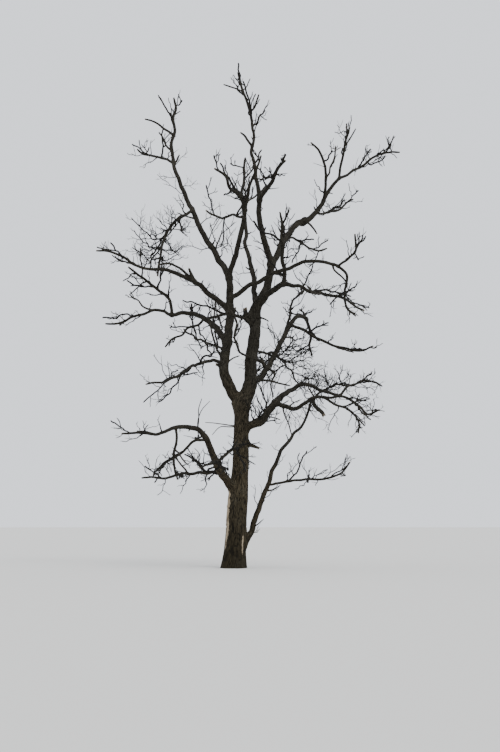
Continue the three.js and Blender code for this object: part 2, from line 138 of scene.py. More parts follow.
# One row for each limb: what it grows on, how far along that, its reach from root to tip, its bows at a
# third and at two thirds, its thickness at root and tip, in metres, and its seed. Boughs first, then the
# stems of the twig masses
limbColumns = ("on", "at", "reach", "low", "high", "thick", "thin", "seed")
boughs = {
    "trunk": (None, 0, (0.29, 0, 5.68), (0.06, 0, 0), (0.06, 0, 0), 0.72, 0.465, 26),
    "leftLeader": ("trunk", 0.98, (-0.46, -0.3, 4.55), (-0.43, -0.05, -0.13), (-0.13, -0.03, -0.07),
        0.4, 0.225, 106),
    "rightLeader": ("trunk", 0.98, (0.53, 0.2, 3.62), (0.14, 0.02, -0.04), (0.07, 0.02, -0.02),
        0.46, 0.36, 680),
    "leftTop": ("leftLeader", 0.98, (-2.18, 1.7, 5.31), (-0.18, 0.11, -0.11), (-0.24, 0.14, -0.12),
        0.23, 0.125, 237),
    "midLeft": ("leftLeader", 0.98, (0.56, -1.4, 2.13), (0.09, -0.06, -0.06), (0.1, -0.11, -0.08),
        0.19, 0.15, 54),
    "centreStem": ("rightLeader", 0.98, (-0.41, 2.1, 3.61), (0.01, 0.21, -0.14), (-0.05, 0.21, -0.12),
        0.205, 0.13, 1053),
    "rightTrunk": ("rightLeader", 0.98, (0.52, -0.15, 1.52), (0.14, -0.01, -0.07), (0.09, -0.01, -0.04),
        0.32, 0.24, 1130),
    "rightTop": ("rightTrunk", 0.98, (-0.42, -0.65, 2.22), (-0.12, -0.01, -0.02), (-0.15, -0.02, -0.03),
        0.235, 0.17, 1050),
    "spire": ("rightTop", 0.98, (-0.3, 0.2, 1.87), (-0.03, -0.03, -0.01), (-0.02, -0.01, 0),
        0.155, 0.105, 368),
    "rightBough": ("rightTrunk", 0.98, (1.42, 1.35, 2.04), (-0.09, 0.03, 0.06), (-0.16, 0.04, 0.12),
        0.23, 0.21, 638),
    "rightArm": ("rightBough", 0.98, (1.26, 0.4, 1.77), (0.08, 0.03, -0.1), (0.01, 0.02, -0.03),
        0.2, 0.11, 54),
    "rightFork": ("rightTrunk", 0.12, (0.84, -0.88, 0.44), (0, 0, 0.01), (0.01, -0.01, -0.03),
        0.235, 0.185, 181),
    "crossLimb": ("leftLeader", 0.83, (3.63, -2.74, 0.43), (-0.1, -0.12, 0.25), (-0.08, -0.14, 0.4),
        0.17, 0.095, 1251),
    "leftUpper": ("leftLeader", 0.73, (-2.82, -1.26, 1.25), (0.09, 0.03, 0.24), (0.1, 0.02, 0.29),
        0.215, 0.1, 518),
    "leftMiddle": ("leftLeader", 0.5, (-2.13, 1.6, 1.28), (0.23, 0.07, 0.28), (0.22, 0.08, 0.34),
        0.245, 0.13, 951),
    "lowLeft": ("trunk", 0.46, (-2.25, -1.5, 2.02), (0.06, -0.04, 0.17), (0.26, 0, 0.47), 0.31, 0.125, 1307),
    "rightLow": ("trunk", 0.83, (1.17, -0.9, 0.87), (0.09, 0.02, -0.1), (0.06, -0.04, -0.13),
        0.27, 0.245, 1045),
    "rightLowUpper": ("rightLow", 0.98, (2.42, 1.9, 0.49), (-0.11, 0.04, 0.46), (-0.13, 0.05, 0.35),
        0.185, 0.095, 82),
    "rightLowLower": ("rightLow", 0.98, (1.8, -1.4, 0), (-0.04, -0.05, -0.24), (-0.05, -0.02, -0.05),
        0.17, 0.085, 1325),
    "rightMiddle": ("rightLeader", 0.25, (1.78, 1.53, 2.62), (0.13, 0.12, -0.24), (0.03, 0.05, -0.09),
        0.225, 0.14, 341),
    "footStem": ("trunk", 0.09, (2.47, 1.5, 4.53), (0.02, -0.26, -0.02), (-0.2, -0.11, 0.12),
        0.225, 0.095, 1166),
}
stems = {
    "spireTwigs": ("spire", 0.98, (-0.48, 0.55, 3.22), (0.22, 0, 0.02), (0.12, 0.02, 0.01), 0.1, 0.05, 307),
    "topRightTwigs": ("rightTop", 0.98, (0.86, -1.9, 0.77), (-0.02, -0.01, -0.02), (-0.01, 0, 0),
        0.155, 0.055, 846),
    "leftTipTwigs": ("leftTop", 0.98, (0.01, 0.3, 2.28), (0, -0.03, 0.01), (0.07, -0.03, 0.01),
        0.12, 0.05, 635),
    "leftArmTwigs": ("leftTop", 0.9, (-1.52, 1.4, 1.07), (0, -0.03, 0.03), (-0.01, -0.01, 0),
        0.095, 0.045, 530),
    "hangingTwigs": ("leftTop", 0.54, (-1.06, -1.86, -2.9), (-0.2, -0.2, 0.25), (-0.23, -0.23, 0.21),
        0.11, 0.045, 631),
    "midLeftTwigs": ("midLeft", 0.98, (-0.98, -1.5, 0.91), (0.03, 0.03, 0.09), (0.04, 0.04, 0.11),
        0.115, 0.045, 322),
    "midTopTwigs": ("midLeft", 0.98, (0.55, -1, 1.53), (-0.04, 0.1, 0.05), (-0.04, 0.03, 0.02),
        0.1, 0.04, 1165),
    "midSideTwigs": ("midLeft", 0.87, (-1.19, -2.51, -0.52), (-0.02, 0.03, 0.01), (0.01, 0.03, -0.14),
        0.08, 0.04, 1663),
    "backTwigs": ("centreStem", 0.98, (-0.03, 1.5, 3.23), (-0.13, -0.04, 0.01), (-0.11, -0.02, 0.01),
        0.125, 0.05, 583),
    "armRiserTwigs": ("rightArm", 0.98, (0.36, -0.7, 1.75), (-0.04, 0.05, 0.03), (-0.08, 0.03, 0.03),
        0.095, 0.045, 577),
    "armTipTwigs": ("rightArm", 0.98, (2.54, 1.6, 1.62), (-0.03, -0.03, 0.1), (-0.05, -0.03, 0.16),
        0.1, 0.045, 1375),
    "armInnerTwigs": ("rightArm", 0.47, (-0.54, -1.82, 1.6), (0.2, -0.02, 0.1), (0.24, -0.03, 0.11),
        0.105, 0.045, 51),
    "armSideTwigs": ("rightArm", 0.23, (1.63, 2.18, 1.2), (0.09, 0.02, -0.18), (0.06, 0.03, -0.13),
        0.09, 0.045, 408),
    "boughSideTwigs": ("rightBough", 0.44, (1.76, 2.62, 0.43), (-0.04, 0.02, 0.1), (-0.05, 0.05, -0.1),
        0.08, 0.045, 523),
    "forkRiserTwigs": ("rightFork", 0.98, (-0.16, -1.6, 2.09), (0.05, 0.11, 0.07), (0.02, 0.08, 0.06),
        0.145, 0.045, 810),
    "forkDroopTwigs": ("rightFork", 0.98, (2.43, -3.1, -1.57), (0.07, 0.01, 0.08), (0.06, -0.01, 0.11),
        0.12, 0.04, 771),
    "crossDroopTwigs": ("crossLimb", 0.98, (0.57, 0.1, -1.63), (0.07, -0.12, 0.05), (-0.09, -0.01, -0.02),
        0.085, 0.04, 883),
    "crossRiserTwigs": ("crossLimb", 0.98, (0.44, -1.3, 0.71), (0.1, -0.04, -0.1), (0.17, -0.04, -0.14),
        0.08, 0.04, 1635),
    "leftUpperTwigs": ("leftUpper", 0.98, (-1.65, -0.9, 0.4), (-0.02, 0.01, -0.01), (0, 0.02, 0.08),
        0.095, 0.04, 1264),
    "leftMiddleTwigs": ("leftMiddle", 0.98, (-2.66, 1.7, 0.01), (0.01, 0.05, 0.22), (0.01, 0.03, 0.02),
        0.11, 0.045, 1741),
    "leftMiddleRisers": ("leftMiddle", 0.98, (-1.47, -1.2, 1.5), (0.2, 0.04, 0.18), (0.1, 0.01, 0.08),
        0.115, 0.045, 1584),
    "leftLowerTwigs": ("leftLeader", 0.35, (-2.32, -3.94, -1.22), (-0.05, 0.05, 0.27), (0.06, 0.02, 0.01),
        0.12, 0.035, 1026),
    "leftInnerTwigs": ("leftLeader", 0.42, (-1.67, 3.48, 1.55), (0.03, -0.02, 0.08), (-0.02, 0.01, -0.06),
        0.085, 0.045, 1049),
    "behindTwigs": ("rightLeader", 0.82, (-3.51, 4.12, -0.15), (0.14, 0.14, 0.67), (0.12, 0.13, 0.62),
        0.115, 0.045, 442),
    "innerFrontTwigs": ("rightLeader", 0.47, (-0.52, -3.52, 1.08), (-0.23, -0.04, -0.26),
        (-0.17, -0.06, -0.24), 0.075, 0.035, 1463),
    "lowLeftTwigs": ("lowLeft", 0.98, (-1.56, -1.3, -0.3), (0.01, 0.04, -0.11), (-0.03, 0.04, -0.01),
        0.105, 0.04, 2),
    "lowLeftDrop": ("lowLeft", 0.96, (0.05, 0.43, -1.7), (-0.03, 0.02, 0), (-0.09, 0, -0.01),
        0.085, 0.045, 960),
    "lowLeftInner": ("lowLeft", 0.6, (-1.77, 2.71, -0.78), (0.03, 0.05, 0.2), (0.04, 0.04, 0.1),
        0.095, 0.045, 408),
    "lowLeftSecond": ("trunk", 0.47, (-3.75, 3.9, 0.55), (0.06, -0.04, 0.46), (0.12, 0.01, 0.21),
        0.13, 0.045, 458),
    "frontTwigs": ("trunk", 0.74, (-1.27, -3.2, -0.98), (0.16, -0.07, 0.11), (0.07, -0.01, -0.02),
        0.125, 0.04, 132),
    "rightLowTipTwigs": ("rightLowUpper", 0.98, (1.7, 1.5, 0.52), (-0.06, -0.02, 0.28), (-0.06, -0.02, 0.33),
        0.085, 0.045, 935),
    "rightLowEndTwigs": ("rightLowLower", 0.98, (1.45, -1.3, -0.53), (0.11, 0, 0.03), (0.05, 0.02, -0.23),
        0.085, 0.04, 1391),
    "rightLowDroop": ("rightLowLower", 0.89, (1.22, 1.05, -1.08), (0.13, 0.04, 0.12), (0.26, 0.04, 0.16),
        0.08, 0.04, 851),
    "rightMiddleTwigs": ("rightMiddle", 0.98, (0.64, 2, -1.15), (0.2, 0.01, 0.32), (0.09, 0.04, 0.19),
        0.125, 0.045, 244),
    "rightMiddleDroop": ("rightMiddle", 0.84, (2.87, -1.16, -0.98), (-0.01, 0.14, -0.16),
        (-0.08, 0.09, -0.36), 0.11, 0.04, 1282),
    "rightMiddleRiser": ("rightMiddle", 0.63, (1, 2.71, 2.53), (-0.1, -0.03, 0.09), (-0.14, -0.06, 0.14),
        0.085, 0.045, 597),
    "innerBackTwigs": ("rightLeader", 0.52, (1.65, 4.17, -0.35), (0.04, 0.01, 0.36), (0.06, 0.03, 0.4),
        0.09, 0.045, 972),
    "footStemTwigs": ("footStem", 0.98, (1.81, 1.1, 1.62), (-0.23, -0.1, 0.32), (-0.23, -0.09, 0.37),
        0.085, 0.045, 774),
    "footStemSide": ("footStem", 0.51, (2.63, -2.46, 0.65), (0.02, -0.03, -0.08), (0.07, -0.1, -0.32),
        0.085, 0.04, 92),
}

# The rule by which limbs and twigs grow, as in the part's source
growth = {
    "jointSpacing": 0.45,  # a limb kinks this often
    "leastStretches": 3,
    "kink": {"trunk": 0.02, "limb": 0.14, "twig": 0.22},  # sideways, as a share of the joint spacing
    "shrink": (1.15, 0.65),  # of a twig's length, from its carrier's root to its tip
    "lengthening": 0.4,  # power of a spray's own length that its twigs' twigs still have
    "turnSpread": 100.0,  # degrees round the carrier, about a half turn from the twig before
    "steepest": 0.9,  # of a heading along one axis, past which another axis gives its sides
    "curlLevel": 0.1,
    "curlRising": 0.25,  # twigs curl upwards, most of all on a rising stem
    "roomStretch": 1.25,
    "roomMargin": 0.9,  # a mass keeps to an egg round its stem
    "twigGap": 0.006,
    "lowestTwig": 0.3,
    "treeHeight": 18.0,
    "growsOn": 0.98,  # a limb that starts this far along can carry its carrier on
    "leastStraight": 0.6,  # cosine of the bend there, past which it does
    "parallel": 1e-12,  # two stretches whose spread is below this count as parallel
}

# Twigs level by level: how many stand on each metre, at least and at most, from where to where, how many
# degrees they lean, how long they are for the root of their carrier's length, how many joints they have, how
# thick they are at root and tip for it, their thinnest tip, and how much they kink, if not as usual
twigColumns = ("perMetre", "least", "most", "along", "lean", "length", "joints", "thick", "thin", "thinnest",
    "kink")
coarseTwigs = [
    (1.1, 3, 6, (0.2, 0.96), (35, 70), (0.35, 0.8), 3, 0.7, 0.75, 0.02),
    (0.9, 1, 6, (0.3, 0.9), (30, 65), (0.3, 0.6), 1, 0.7, 0.75, 0.02),
]
fineTwigs = [
    (3.8, 1, 12, (0.1, 0.98), (35, 75), (0.26, 0.74), 6, 0.56, 0.5, 0.013, 0.33),
    (4.6, 1, 4, (0.2, 0.95), (32, 68), (0.2, 0.5), 4, 0.66, 0.65, 0.01, 0.32),
    (4.0, 0, 2, (0.3, 0.95), (30, 62), (0.12, 0.3), 2, 0.7, 0.75, 0.008),
]
boughTwigs = [(2.6, 1, 22, (0.12, 0.97), (45, 85), (0.16, 0.52), 6, 0.2, 0.14, 0.015, 0.34)] + fineTwigs[1:]
brokenStubs = [(0.7, 0, 3, (0.15, 0.9), (40, 70), (0.14, 0.34), 2, 0.36, 0.3, 0.018)]

# How many fine twigs a limb has for the rule's number, how long they are for its length, how far past its
# solid they may reach, and how they curl up or droop: few near the broken tops, many where there is a
# thicket. A row may stop early: the rest is as usual, and a mass curls by its own rise
sprayColumns = ("count", "length", "past", "curl")
usualSpray = {"stem": (0.5, 1.0, 0.25), "bough": (0.5, 1.0, 1.0, 0.25)}
sprays = {
    "spireTwigs": (0.35, 0.8),
    "topRightTwigs": (0.3, 0.8),
    "leftTipTwigs": (0.25, 0.7),
    "midTopTwigs": (0.35, 0.9),
    "backTwigs": (0.3, 0.9),
    "armRiserTwigs": (0.3, 0.8),
    "armInnerTwigs": (0.3, 0.8),
    "armTipTwigs": (0.45, 0.8),
    "leftUpperTwigs": (0.35, 0.9),
    "leftMiddleTwigs": (0.4,),
    "hangingTwigs": (1.15, 1.1, 1.0, 0.3),
    "midLeftTwigs": (0.3,),
    "leftInnerTwigs": (0.35,),
    "behindTwigs": (0.4,),
    "innerFrontTwigs": (0.4,),
    "lowLeftInner": (0.35,),
    "lowLeftSecond": (0.35,),
    "frontTwigs": (0.7, 1.1),
    "crossDroopTwigs": (0.8,),
    "crossRiserTwigs": (0.3, 0.8, 0.25, 0.05),
    "forkDroopTwigs": (0.3,),
    "rightMiddleTwigs": (0.4, 1.1, 0.4),
    "innerBackTwigs": (2.0, 1.6, 0.6),
    "rightLowTipTwigs": (0.8, 1.2, 0.4),
    "rightLowEndTwigs": (0.7, 1.1),
    "rightLowDroop": (0.8, 1.1),
    "footStemTwigs": (1.3, 1.5, 0.5),
    "rightLowUpper": (2.1, 2.2, 1.15, 0.5),
    "rightLowLower": (2.0, 1.9, 1.0, -0.45),
    "rightLow": (3.0, 1.7, 1.2, 0.4),
    "crossLimb": (0.7, 1.2),
    "leftMiddle": (0.5, 1.3),
    "leftUpper": (0.9, 1.2),
    "leftTop": (0.8, 1.3),
}


drawRule = {"scatter": 2654435761, "factor": 1664525, "step": 1013904223, "states": 2 ** 32, "leftOut": 3}


# Seeded numbers from 0 to 1: each state is the last one times a factor plus a step, within 32 bits. The
# first three are too alike from seed to seed, and are left out
def makeDraws(seed):
    state = seed * drawRule["scatter"] % drawRule["states"]

    def draw():
        nonlocal state
        state = (state * drawRule["factor"] + drawRule["step"]) % drawRule["states"]
        return state / drawRule["states"]

    for index in range(drawRule["leftOut"]):
        draw()
    return draw


def between(ends, share):
    return ends[0] + (ends[1] - ends[0]) * share


def smoothStep(low, high, value):
    share = np.clip((value - low) / (high - low), 0, 1)
    return share * share * (3 - 2 * share)


def unit(vectors):
    return vectors / np.linalg.norm(vectors, axis=-1, keepdims=True)


# Numbers or arrays of one shape side by side, as the coordinates of points
def together(*parts):
    return np.stack(np.broadcast_arrays(*parts), axis=-1)


def thickAt(limb, share):
    return between((limb["thick"], limb["thin"]), share)


def randomOffset(draw, size):
    return (np.array([draw(), draw(), draw()]) * 2 - 1) * size


# Centre line of a limb: start + reach * t, bowed by the cubic 13.5 t (1 - t) (2/3 - t) and its mirror, which
# are whole at a third and at two thirds, with a seeded kink at each inner joint
def limbJoints(limb, start, kink, draw):
    reach, low, high = (np.array(limb[key], float) for key in ("reach", "low", "high"))
    length = np.linalg.norm(reach)
    steps = max(growth["leastStretches"], math.floor(length / growth["jointSpacing"] + 0.5))
    t = (np.arange(steps + 1) / steps)[:, None]
    bow = 13.5 * t * (1 - t)
    joints = start + reach * t + low * bow * (2 / 3 - t) + high * bow * (t - 1 / 3)
    for step in range(1, steps):
        joints[step] += randomOffset(draw, kink * length / steps)
    return joints


def placeOn(line, share):
    along = share * (len(line) - 1)
    before = min(int(along), len(line) - 2)
    heading = line[before + 1] - line[before]
    return line[before] + heading * (along - before), unit(heading)


# Least distance between one straight stretch and many: the nearest points solve two linear equations,
# clamped to each stretch's ends
def stretchGaps(a, b, starts, ends):
    u, v, w = b - a, ends - starts, starts - a
    uu, uv, vv = u @ u, v @ u, (v * v).sum(axis=1)
    uw, vw = w @ u, (v * w).sum(axis=1)
    spread = uu * vv - uv * uv
    least = growth["parallel"]
    first = np.where(spread > least, (vv * uw - uv * vw) / np.maximum(spread, least), 0).clip(0, 1)
    t = ((uv * first - vw) / vv).clip(0, 1)
    s = ((uv * t + uw) / uu).clip(0, 1)
    return np.linalg.norm(a + u * s[:, None] - starts - v * t[:, None], axis=1)


standing = {"owner": [], "start": [], "end": [], "radius": []}


def addStanding(owner, limb):
    line, steps = limb["line"], len(limb["line"]) - 1
    standing["owner"] += [owner] * steps
    standing["start"] += list(line[:-1])
    standing["end"] += list(line[1:])
    standing["radius"] += [thickAt(limb, step / steps) / 2 for step in range(steps)]


# All stretches of other owners as whole arrays
def othersThan(owner):
    keep = np.array([name != owner for name in standing["owner"]])
    return [np.array(standing[key])[keep] for key in ("start", "end", "radius")]


def isClear(twig, others):
    starts, ends, radius = others
    line, least = twig["line"], radius + twig["thick"] / 2 + growth["twigGap"]
    return all((stretchGaps(a, b, starts, ends) >= least).all() for a, b in zip(line[:-1], line[1:]))


# Twigs on a line, in turn to its two sides: direction = heading * cos(lean) + side(turn) * sin(lean),
# joints at root + direction * size * t + up * rise * size * t squared, each kinked by a seeded offset
def growTwigs(carrier, rules, level, draw, rise, accept):
    rule = dict(zip(twigColumns, rules[level]))
    line = carrier["line"]
    length = np.linalg.norm(line[-1] - line[0])
    density, lengthen = carrier.get("spray", (1, 1))
    wanted = math.floor(rule["perMetre"] * length * density + 0.5)
    count = min(rule["most"], max(rule["least"], wanted))
    firstTurn = 180 * draw()
    for index in range(count):
        share = between(rule["along"], (index + draw()) / count)
        point, heading = placeOn(line, share)
        steep = abs(heading[2]) >= growth["steepest"]
        across = unit(np.cross(heading, (1.0, 0, 0) if steep else (0, 0, 1.0)))
        over = np.cross(across, heading)
        lean = math.radians(between(rule["lean"], draw()))
        turn = math.radians(firstTurn + 180 * index + growth["turnSpread"] * (draw() - 0.5))
        side = across * math.cos(turn) + over * math.sin(turn)
        direction = heading * math.cos(lean) + side * math.sin(lean)
        size = math.sqrt(length) * between(growth["shrink"], share) * between(rule["length"], draw())
        size *= lengthen
        kink = rule.get("kink", growth["kink"]["twig"]) * size / rule["joints"]
        joints = [point]
        for joint in range(1, rule["joints"] + 1):
            t = joint / rule["joints"]
            bent = point + direction * size * t + np.array([0, 0, rise * size * t * t])
            joints.append(bent + randomOffset(draw, kink))
        twig = {
            "line": np.array(joints),
            "thick": thickAt(carrier, share) * rule["thick"],
            "thin": max(carrier["thin"] * rule["thin"], rule["thinnest"]),
            "sunk": thickAt(carrier, share) / 2,
            "size": size,
            "spray": (min(density, 1.0), max(1.0, lengthen ** growth["lengthening"])),
        }
        if accept(twig) and level + 1 < len(rules):
            growTwigs(twig, rules, level + 1, draw, rise, accept)


# Inside the room of a mass: the distances to both ends of its stem add up to no more than the egg's size
def keepsToRoom(line, stem):
    root, tip = stem[0], stem[-1]
    most = growth["roomStretch"] * np.linalg.norm(tip - root) + growth["roomMargin"]
    spans = np.linalg.norm(line - root, axis=1) + np.linalg.norm(line - tip, axis=1)
    inHeight = (line[:, 2] >= growth["lowestTwig"]) & (line[:, 2] <= growth["treeHeight"])
    return bool((spans <= most).all() and inHeight.all())


limbs = {}


# A row of a table as a limb, with its centre line and its own seeded draws
def layLimb(name, row, kind):
    limb = {**dict(zip(limbColumns, row)), "name": name, "twigs": []}
    carrier = limbs.get(limb["on"])
    start = placeOn(carrier["line"], limb["at"])[0] if carrier else np.zeros(3)
    limb["kind"] = kind if carrier else "trunk"
    limb["draw"] = makeDraws(limb["seed"])
    limb["line"] = limbJoints(limb, start, growth["kink"]["limb" if carrier else "trunk"], limb["draw"])
    return limb


# The skeleton first: all centre lines, then the coarse twigs of each mass, as the solids have them
for kind, table in (("bough", boughs), ("stem", stems)):
    for name, row in table.items():
        limbs[name] = layLimb(name, row, kind)
        addStanding(name, limbs[name])

for limb in limbs.values():
    if limb["kind"] == "stem":
        rising = unit(limb["line"][-1] - limb["line"][0])[2]
        limb["rise"] = growth["curlLevel"] + growth["curlRising"] * rising
        others = othersThan(limb["name"])

        def accept(twig):
            fits = keepsToRoom(twig["line"], limb["line"]) and isClear(twig, others)
            if fits:
                limb["twigs"].append(twig)
            return fits

        growTwigs(limb, coarseTwigs, 0, limb["draw"], limb["rise"], accept)
        for twig in limb["twigs"]:
            addStanding(limb["name"], twig)

# Torn and broken pieces that show by themselves, told as limbs are
brokenPieces = {
    "trunkStub": ("trunk", 0.765, (0.62, -0.14, -0.27), (0, 0, 0.03), (0, 0, 0.03), 0.18, 0.1, 5),
    "leaderStub": ("rightLeader", 0.86, (0.46, -0.06, -0.1), (0, 0, 0.05), (0.02, 0, 0.06), 0.075, 0.045, 9),
    "sideStem": ("leftLeader", 0.37, (-0.5, -0.15, 1.31), (-0.07, 0, -0.02), (-0.03, 0, 0),
        0.09, 0.055, 137),
    "forkSecond": ("crossLimb", 0.93, (0.48, -0.17, -0.7), (-0.07, 0, 0.02), (-0.06, 0, 0.06),
        0.07, 0.05, 139),
    "loopUpper": ("rightLeader", 0.5, (0.51, 0.49, -0.44), (0, 0, 0.03), (0.04, 0, 0.1), 0.14, 0.12, 103),
    "loopRight": ("rightMiddle", 0.28, (0.2, -0.6, -1.13), (0.14, -0.1, 0.12), (0, 0, 0.1),
        0.09, 0.045, 107),
    "lowBranch": ("rightLeader", 0.22, (1.39, -0.5, -0.15), (0, 0, 0.18), (0, 0, 0.09), 0.1, 0.05, 109),
    "upperSecond": ("leftUpper", 0.48, (-1.22, -0.5, 0.5), (0, 0, 0.27), (0, 0, 0.26), 0.1, 0.06, 113),
    "upperKnob": ("leftUpper", 0.48, (-0.21, -0.06, 0.48), (0, 0, 0), (0, 0, 0), 0.12, 0.09, 127),
    "archRiser": ("lowLeft", 0.74, (0.14, -0.1, 1.05), (-0.06, 0, 0), (-0.04, 0, 0), 0.045, 0.024, 83),
    "archFork": ("lowLeft", 0.74, (0.42, -0.25, 0.95), (-0.15, 0.05, 0.06), (-0.12, 0.04, 0.03),
        0.04, 0.02, 97),
    "trunkTwig": ("trunk", 0.85, (-1.25, -0.3, 0.12), (0, 0, 0), (0, 0, 0.05), 0.05, 0.022, 89),
    "trunkDroop": ("trunk", 0.85, (-1.0, -0.42, -0.32), (-0.06, 0, 0.1), (-0.08, 0, 0.14),
        0.045, 0.022, 101),
    "crotchStub": ("rightLeader", 0.82, (-0.36, -0.16, 0.5), (-0.14, -0.03, -0.08), (-0.06, 0, -0.08),
        0.25, 0.16, 79),
    "tornEnd": ("rightLowLower", 0.7, (0.36, -0.12, -0.56), (-0.04, 0, -0.03), (0.02, 0, -0.02),
        0.12, 0.15, 12),
    "tornFlap": ("rightLowLower", 0.66, (0.25, 0.04, -0.36), (0.03, 0, 0), (0, 0.02, 0), 0.085, 0.05, 17),
    "midStub": ("leftLeader", 0.342, (-0.28, -0.08, 0.03), (0, 0, -0.02), (0, 0, -0.02), 0.13, 0.1, 21),
    "armStub": ("rightBough", 0.93, (0.46, -0.16, -0.52), (0.06, 0, 0.04), (0.03, 0, 0.05), 0.09, 0.06, 23),
    "rightLowSecond": ("trunk", 0.8, (0.95, -0.35, 0.75), (0.02, 0, 0.1), (0, 0, 0.07), 0.1, 0.06, 67),
    "lowStub": ("rightLow", 0.62, (0.52, -0.2, -0.12), (0, 0, 0.02), (0, 0, 0.01), 0.05, 0.036, 71),
    "droopStem": ("rightLowLower", 0.14, (0.28, -0.15, -0.98), (-0.08, 0, 0), (0.02, 0, 0.02),
        0.055, 0.04, 73),
    "spireLeftArm": ("spireTwigs", 0.73, (-0.7, -0.2, 0.2), (0, 0, 0.01), (0, 0, -0.03), 0.06, 0.05, 31),
    "spireCurl": ("spireTwigs", 0.75, (0.27, 0.15, 0.52), (0.05, 0, -0.03), (0.01, 0, -0.01),
        0.045, 0.034, 33),
    "spireRightArm": ("spireTwigs", 0.5, (0.32, -0.1, 0.62), (0.04, 0, -0.03), (0.03, 0, -0.01),
        0.075, 0.06, 37),
    "spireStub": ("spireTwigs", 0.06, (-0.42, -0.15, 0.46), (-0.02, 0, 0.03), (-0.01, 0, 0.02),
        0.09, 0.07, 41),
    "tipSideArm": ("leftTipTwigs", 0.33, (-1.05, -0.3, 0.52), (0, 0, 0.07), (0, 0, 0.13), 0.095, 0.06, 43),
    "leaderSpur": ("leftTop", 0.9, (0.22, -0.12, 0.3), (0.02, 0, -0.02), (0.01, 0, -0.01), 0.08, 0.055, 131),
    "tipStub": ("leftTipTwigs", 0.04, (-0.52, 0.2, 0.8), (-0.03, 0, 0), (-0.02, 0, -0.01), 0.08, 0.06, 47),
    "tipSpur": ("leftTipTwigs", 0.66, (0.25, -0.1, 0.12), (0, 0, 0.01), (0, 0, 0.01), 0.05, 0.035, 53),
    "riserProng": ("armRiserTwigs", 0.62, (0.4, -0.1, 0.62), (0.02, 0, -0.02), (0.01, 0, -0.02),
        0.06, 0.046, 59),
    "armProng": ("armTipTwigs", 0.72, (0.42, -0.15, 0.68), (0.02, 0, -0.05), (0.03, 0, -0.03),
        0.066, 0.046, 61),
}
# Coarse twigs that show by themselves, told as limbs are: the fan on the left and the curls at the tips
placedTwigs = {
    "innerRiser": ("leftTop", 0.16, (0.15, -0.12, 1.0), (-0.08, 0, 0), (-0.03, 0, 0), 0.055, 0.028, 214),
    "prongHigh": ("leftMiddleRisers", 0.84, (-0.48, -0.1, -0.3), (0, 0, 0.06), (0, 0, 0.03),
        0.045, 0.024, 212),
    "prongLow": ("leftMiddleRisers", 0.65, (-0.6, -0.15, -0.55), (0, 0, 0.08), (0, 0, 0.03),
        0.05, 0.024, 213),
    "armHang": ("armTipTwigs", 0.64, (0.3, -0.15, -0.46), (0.08, 0, 0), (0.06, 0, 0), 0.032, 0.016, 208),
    "armCurl": ("armTipTwigs", 0.8, (0.34, -0.2, -0.3), (0.05, 0, 0.06), (0.05, 0, 0.04), 0.032, 0.016, 209),
    "riserCurl": ("armRiserTwigs", 0.86, (-0.5, -0.1, 0.03), (0, 0, 0.06), (0, 0, -0.05), 0.032, 0.016, 210),
    "spireHook": ("spireTwigs", 0.8, (-0.3, -0.1, 0.42), (-0.03, 0, 0.02), (-0.02, 0, 0.02),
        0.03, 0.016, 211),
    "fanTop": ("hangingTwigs", 0.5, (-0.37, 0.15, 0.54), (0.04, 0, 0), (0.02, 0, 0), 0.035, 0.018, 201),
    "fanUpper": ("hangingTwigs", 0.56, (-1.16, -0.35, 0.62), (0, 0, -0.26), (0, 0, -0.17), 0.05, 0.02, 202),
    "fanMiddle": ("hangingTwigs", 0.7, (-1.01, 0.3, 0.77), (0, 0, -0.19), (0, 0, -0.22), 0.05, 0.02, 203),
    "fanLower": ("hangingTwigs", 0.8, (-0.96, -0.25, 0.3), (0, 0, -0.2), (0, 0, -0.11), 0.045, 0.02, 204),
    "fanRight": ("hangingTwigs", 0.7, (0.79, -0.3, 0.07), (0, 0, -0.09), (0, 0, -0.17), 0.04, 0.018, 205),
    "fanRightLow": ("hangingTwigs", 0.82, (0.7, 0.2, 0.25), (0, 0, -0.04), (0, 0, -0.02), 0.035, 0.018, 206),
    "fanRightHigh": ("hangingTwigs", 0.5, (0.7, -0.35, -0.08), (0, 0, 0.08), (0, 0, 0.04),
        0.035, 0.018, 207),
}

for name, row in brokenPieces.items():
    limbs[name] = layLimb(name, row, "stub")
for name, row in placedTwigs.items():
    twig = layLimb(name, row, "twig")
    carrier = limbs[twig["on"]]
    twig["sunk"] = thickAt(carrier, twig["at"]) / 2
    twig["size"] = np.linalg.norm(twig["reach"])
    carrier["twigs"].append(twig)
print("skeleton grown,", sum(len(limb["twigs"]) for limb in limbs.values()), "coarse twigs")

